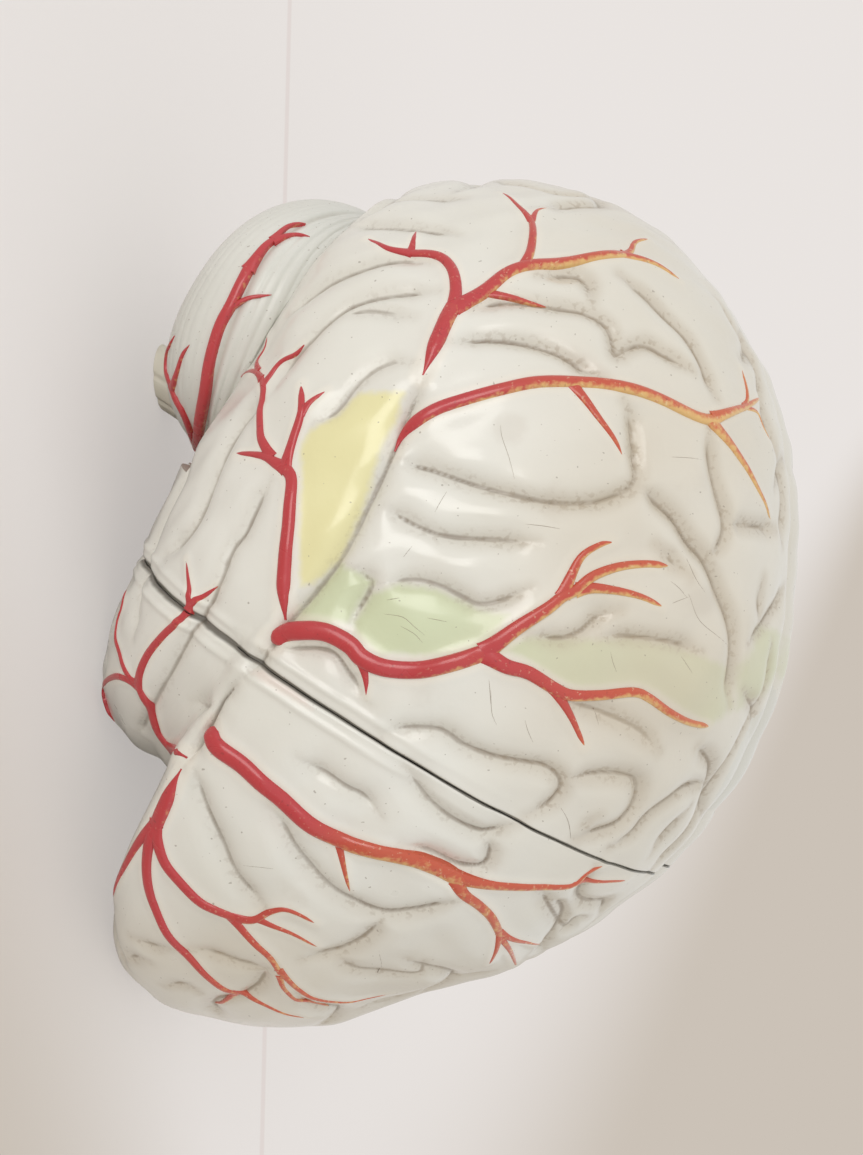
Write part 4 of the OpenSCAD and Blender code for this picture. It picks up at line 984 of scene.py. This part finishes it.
def shell_paint():
    """Cream gloss paint with soiling and painted shade in the grooves, painted fields, worn patches, a pale edge
    along the arteries, a brown tint towards the crown and front that is partly yellowing and partly painted shade,
    and painted shade along the parting.
    """
    m = Nodes("shell_paint")
    cloud = m.noise(22, 4.0)
    cream = m.mix(m.range(cloud, 0.35, 0.7), (0.785, 0.78, 0.73), (0.745, 0.735, 0.675))
    edge_noise = m.sum("MULTIPLY", m.sum("SUBTRACT", m.noise(600, 3.0), 0.5), 1.3)
    def field(name, soft):
        return m.range(m.sum("ADD", m.value(name), edge_noise), -soft, soft)
    c = m.mix(m.sum("MULTIPLY", field("yellow", 1.0), 0.92), cream, (0.80, 0.755, 0.40))
    c = m.mix(m.sum("MULTIPLY", field("green", 1.2), m.range(cloud, 0.2, 0.8, 0.85, 1.0)), c, (0.62, 0.68, 0.45))
    c = m.mix(m.sum("MULTIPLY", field("pink", 1.0), 0.4), c, (0.80, 0.62, 0.56))
    halo = m.range(m.value("artery"), 0.0, 1.4, 0.45, 0.0)
    c = m.mix(halo, c, (0.86, 0.82, 0.73))
    # Strength of soiling and painted shade, darker towards the crown and front
    grime_and_shade = m.value("grime_and_shade")
    groove = m.value("groove")
    slow = m.range(m.noise(60, 2.0), 0.3, 0.7, 0.6, 1.0)
    crease = m.range(m.sum("ADD", groove, m.sum("MULTIPLY", m.noise(350, 2.0), 0.4)), 0.3, 0.85, 1.0, 0.0)
    # Soft brown in and beside the grooves: soiling and painted shade
    wide = m.range(m.sum("ADD", groove, m.sum("MULTIPLY", m.noise(45, 3.0), 2.4)), 1.4, 4.8, 1.0, 0.0)
    c = m.mix(m.sum("MULTIPLY", m.sum("MULTIPLY", wide, grime_and_shade), 0.42), c, (0.36, 0.28, 0.19))
    # Thin dark line in the crease of each groove: soiling and painted shade
    drawn = m.sum("MULTIPLY", m.sum("MULTIPLY", crease, slow), m.range(grime_and_shade, 0.2, 1.0, 0.62, 1.0))
    c = m.mix(drawn, c, (0.18, 0.125, 0.08))
    grains = m.sum("MULTIPLY", m.range(m.noise(900, 2.0), 0.52, 0.66), m.range(groove, 0.3, 2.6, 0.55, 0.0))
    c = m.mix(m.sum("MULTIPLY", grains, m.range(grime_and_shade, 0.2, 1.0, 0.25, 1.0)), c, (0.27, 0.20, 0.13))
    # Brown tint towards the crown and front: yellowing and painted shade of the light falling off
    yellowing_and_shade = m.sum("MULTIPLY", m.range(grime_and_shade, 0.35, 1.0), m.range(m.noise(12, 3.0), 0.3, 0.75, 0.35, 0.85))
    c = m.mix(yellowing_and_shade, c, (0.60, 0.52, 0.40))
    # Near-black band on the edges beside the parting: painted shade of the gap
    seam_shade = m.range(m.sum("ADD", m.value("seam_shade"), m.sum("MULTIPLY", m.noise(400, 2.0), 0.3)), 0.45, 1.1, 0.85, 0.0)
    c = m.mix(seam_shade, c, (0.10, 0.085, 0.065))
    worn = m.range(m.sum("MULTIPLY", m.value("scuff"), m.noise(120, 4.0)), 0.38, 0.60)
    c = m.mix(m.sum("MULTIPLY", worn, 0.15), c, (0.45, 0.37, 0.29))
    dots = m.range(m.noise(1500, 0.0), 0.83, 0.86)
    c = m.mix(m.sum("MULTIPLY", dots, 0.5), c, (0.22, 0.17, 0.13))
    # Inner faces take plain cream; the parting faces take half of it and keep half of the dark band, as painted shade
    # in the gap
    c = m.mix(m.value("inner"), c, m.mix(m.noise(40, 3.0), (0.72, 0.71, 0.65), (0.64, 0.62, 0.55)))
    rough = m.sum("ADD", m.range(m.noise(70, 4.0), 0.2, 0.8, 0.27, 0.42), m.sum("MULTIPLY", crease, 0.2))
    return m.finish(c, rough, m.bump(m.noise(180, 3.0), 0.22, 0.0006), IOR=1.46, Coat_Weight=0.5, Coat_Roughness=0.13)


def scratch_paint():
    """Dark line of a scratch in the paint."""
    m = Nodes("scratch_paint")
    return m.finish(m.mix(m.noise(90, 2.0), (0.20, 0.15, 0.11), (0.34, 0.27, 0.21)), 0.6)


def artery_paint():
    """Crimson gloss that turns orange towards the crown, with ochre spray on the side towards crown and front."""
    m = Nodes("artery_paint")
    tone = m.sum("ADD", m.value("tone"), m.sum("MULTIPLY", m.sum("SUBTRACT", m.noise(55, 4.0), 0.5), 0.35))
    c = m.mix(m.range(tone, 0.2, 1.0), (0.50, 0.042, 0.05), (0.56, 0.10, 0.045))
    c = m.mix(m.range(tone, 0.9, 1.3), c, (0.64, 0.24, 0.08))
    grain = m.sum("MULTIPLY", m.sum("SUBTRACT", m.noise(900, 2.0), 0.5), 1.5)
    spray = m.sum("ADD", m.sum("ADD", m.value("across"), grain), m.range(tone, 0.0, 1.1, -0.75, 0.5, smooth=False))
    c = m.mix(m.range(spray, 0.1, 0.9, 0.0, 0.95), c, (0.72, 0.46, 0.17))
    speck = m.range(m.noise(1500, 1.0), 0.66, 0.72)
    c = m.mix(m.sum("MULTIPLY", speck, m.range(tone, 0.0, 0.6, 0.03, 0.3)), c, (0.80, 0.66, 0.45))
    dark = m.range(m.noise(1300, 1.0), 0.68, 0.76)
    c = m.mix(m.sum("MULTIPLY", dark, 0.4), c, (0.22, 0.03, 0.03))
    return m.finish(c, m.range(m.noise(90, 3.0), 0.2, 0.8, 0.2, 0.36), m.bump(m.noise(300, 3.0), 0.25, 0.0003),
                    IOR=1.47, Coat_Weight=0.35, Coat_Roughness=0.1)


def cerebellum_paint():
    """Greyer cream with painted shade in the cuts between the leaves."""
    m = Nodes("cerebellum_paint")
    c = m.mix(m.range(m.noise(26, 4.0), 0.35, 0.7), (0.72, 0.72, 0.675), (0.665, 0.665, 0.615))
    # Darker cuts between the leaves: painted shade, following the depth of each cut
    leaf_cut_shade = m.sum("ADD", m.value("crease"), m.sum("MULTIPLY", m.noise(150, 3.0), 0.2))
    c = m.mix(m.range(leaf_cut_shade, 0.25, 0.75, 0.0, 0.35), c, (0.40, 0.37, 0.30))
    c = m.mix(m.sum("MULTIPLY", m.range(m.noise(1700, 0.0), 0.80, 0.83), 0.5), c, (0.22, 0.17, 0.13))
    return m.finish(c, m.range(m.noise(70, 4.0), 0.2, 0.8, 0.28, 0.44), m.bump(m.noise(180, 3.0), 0.22, 0.0006),
                    IOR=1.46, Coat_Weight=0.2, Coat_Roughness=0.2)


def stem_paint():
    """Warm cream paint of the brain stem."""
    m = Nodes("stem_paint")
    c = m.mix(m.range(m.noise(30, 4.0), 0.35, 0.7), (0.74, 0.70, 0.60), (0.66, 0.61, 0.50))
    c = m.mix(m.range(m.noise(120, 4.0), 0.6, 0.8, 0.0, 0.3), c, (0.40, 0.33, 0.25))
    return m.finish(c, m.range(m.noise(70, 4.0), 0.2, 0.8, 0.3, 0.46), m.bump(m.noise(180, 3.0), 0.22, 0.0006),
                    IOR=1.46, Coat_Weight=0.2, Coat_Roughness=0.2)


def peg_metal():
    """Turned steel: fine lines round the pin."""
    m = Nodes("peg_metal")
    c = m.mix(m.noise(300, 4.0), (0.60, 0.60, 0.61), (0.48, 0.48, 0.49))
    return m.finish(c, m.range(m.noise(500, 3.0, m.place((1, 1, 8))), 0.2, 0.8, 0.24, 0.4),
                    m.bump(m.noise(900, 2.0, m.place((1, 1, 8))), 0.15, 0.0001), Metallic=1.0)


# The pieces
shell, vessel, folia = shell_paint(), artery_paint(), cerebellum_paint()
stem_finish, metal, scratched = stem_paint(), peg_metal(), scratch_paint()


def finish_piece(obj, material):
    obj.data.materials.clear()
    obj.data.materials.append(material)
    return obj


REAR_CUTS = [UNDER_TENT, PONS_ROOM, MIDBRAIN_ROOM, *SEAM_HOLES, *MIDDLE_HOLES, TENT_HOLE, STEM_HOLE, FLOOR_CUT]
FRONT_CUTS = [*SEAM_HOLES, FLOOR_CUT]
for node, kind, sign, cuts in (("rear_hemisphere", "rear", 1, REAR_CUTS), ("front_lobe", "front", -1, FRONT_CUTS)):
    verts, faces, values = dome_half(sign)
    right = new_object("right_" + kind + "_shell", verts, faces, "right_" + kind)
    put_attributes(right.data, values)
    mark_inner(cut_away(right, cuts))
    soften(finish_piece(right, shell))
    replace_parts(right, "right_" + node)
    left = mirrored(right, "left_" + kind + "_shell", "left_" + kind)
    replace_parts(left, "left_" + node)
    tubes = finish_piece(artery_piece("right_" + kind + "_arteries", ARTERIES, dome, "right_" + kind, sign), vessel)
    mirrored(tubes, "left_" + kind + "_arteries", "left_" + kind)
    finish_piece(scratch_piece("right_" + kind + "_scratches", "right_" + kind, sign), scratched)

verts, faces, values = cerebellum_half()
right = new_object("right_cerebellum_shell", verts, faces, "right_cerebellum_half")
put_attributes(right.data, values)
cut_away(right, [block((-200, -200, -TENT_GAP), (200, 200, 200), from_tent), PONS_ROOM, TENT_HOLE, FLOOR_CUT])
soften(finish_piece(right, folia), 60)
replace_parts(right, "right_cerebellum")
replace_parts(mirrored(right, "left_cerebellum_shell", "left_cerebellum_half"), "left_cerebellum")
tubes = artery_piece("right_cerebellum_arteries", CEREBELLUM_ARTERIES, ball, "right_cerebellum_half")
finish_piece(tubes, vessel)
mirrored(tubes, "left_cerebellum_arteries", "left_cerebellum_half")

verts, faces = stem_half()
right = new_object("right_stem_shell", verts, faces, "right_stem_half")
cut_away(right, [STEM_HOLE, FLOOR_CUT])
soften(finish_piece(right, stem_finish))
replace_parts(right, "right_brainstem")
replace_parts(mirrored(right, "left_stem_shell", "left_stem_half"), "left_brainstem")

for name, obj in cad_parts.items():
    if name.endswith("_peg"):
        finish_piece(obj, metal)
finish_piece(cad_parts["basilar_artery"], vessel)


# Floor, light and camera
def floor_finish():
    """Pale matt table with painted shade, browner towards the front and far side where the light falls off, and one
    faint pinkish joint line. The camera sees it mostly at its own colour; other light meets plain paint."""
    m = Nodes("table_top")
    split = m.add("ShaderNodeSeparateXYZ")
    m.put(split.inputs[0], m.object)
    x, y = split.outputs["X"], split.outputs["Y"]
    # Browner towards the far side and the front: painted shade of the light falling off
    far = m.range(m.sum("MULTIPLY_ADD", x, -0.216, y), -0.14, -0.36)
    near = m.range(m.sum("MULTIPLY_ADD", y, 0.7, x), -0.04, -0.16)
    c = m.mix(m.sum("MAXIMUM", far, near), (0.82, 0.78, 0.755), (0.60, 0.54, 0.475))
    joint = m.sum("MULTIPLY_ADD", y, -0.061, m.sum("SUBTRACT", x, 0.0725))
    c = m.mix(m.range(m.sum("ABSOLUTE", joint), 0.0008, 0.0022, 0.3, 0.0), c, (0.66, 0.53, 0.50))
    glow = m.add("ShaderNodeEmission")
    m.put(glow.inputs["Color"], c)
    reach = m.add("ShaderNodeVectorMath", operation="LENGTH")
    m.put(reach.inputs[0], m.object)
    share = m.range(reach.outputs["Value"], 0.02, 0.35, 0.52, 0.97)
    seen = m.add("ShaderNodeLightPath").outputs["Is Camera Ray"]
    both = m.add("ShaderNodeMixShader")
    m.put(both.inputs[0], m.sum("MULTIPLY", share, seen))
    m.put(both.inputs[1], m.shader.outputs[0])
    m.put(both.inputs[2], glow.outputs[0])
    m.put(m.tree.nodes["Material Output"].inputs["Surface"], both.outputs[0])
    return m.finish(c, 0.75)


table = new_object("table_floor", np.array([[-6000, -6000, 0], [6000, -6000, 0], [6000, 6000, 0], [-6000, 6000, 0]]),
                   [[0, 1, 2, 3]], None, smooth=False)
table.location.z = -0.0001
finish_piece(table, floor_finish())

world = bpy.data.worlds.new("room")
world.use_nodes = True
world.node_tree.nodes["Background"].inputs["Color"].default_value = (1.0, 0.995, 0.98, 1.0)
world.node_tree.nodes["Background"].inputs["Strength"].default_value = 0.84
bpy.context.scene.world = world


def lamp(name, place, aim, size, power, colour):
    """A soft square lamp at a place, turned to an aim, both in metres."""
    data = bpy.data.lights.new(name, "AREA")
    data.size, data.energy, data.color = size, power, colour
    obj = bpy.data.objects.new(name, data)
    bpy.context.scene.collection.objects.link(obj)
    obj.location = place
    obj.rotation_euler = (Vector(aim) - Vector(place)).to_track_quat("-Z", "Y").to_euler()
    return obj


lamp("window", (-0.85, 0.25, 0.17), (0, 0.01, 0.05), 0.45, 2.2, (1.0, 0.985, 0.955))
lamp("ceiling", (0.1, 0.15, 1.1), (0, 0, 0.05), 0.9, 0.5, (1.0, 0.96, 0.90))

data = bpy.data.cameras.new("view")
data.sensor_fit, data.sensor_height, data.lens = "VERTICAL", 36.0, DOTS * EYE_DISTANCE * 36.0 / PICTURE[1]
data.clip_start, data.clip_end = 0.01, 50.0
camera = bpy.data.objects.new("view", data)
bpy.context.scene.collection.objects.link(camera)
turned = Matrix((RIGHT, -DOWN, -LOOK)).transposed().to_4x4()
turned.translation = Vector(EYE * MM)
camera.matrix_world = turned
bpy.context.scene.camera = camera
bpy.context.scene.view_settings.view_transform = "Standard"
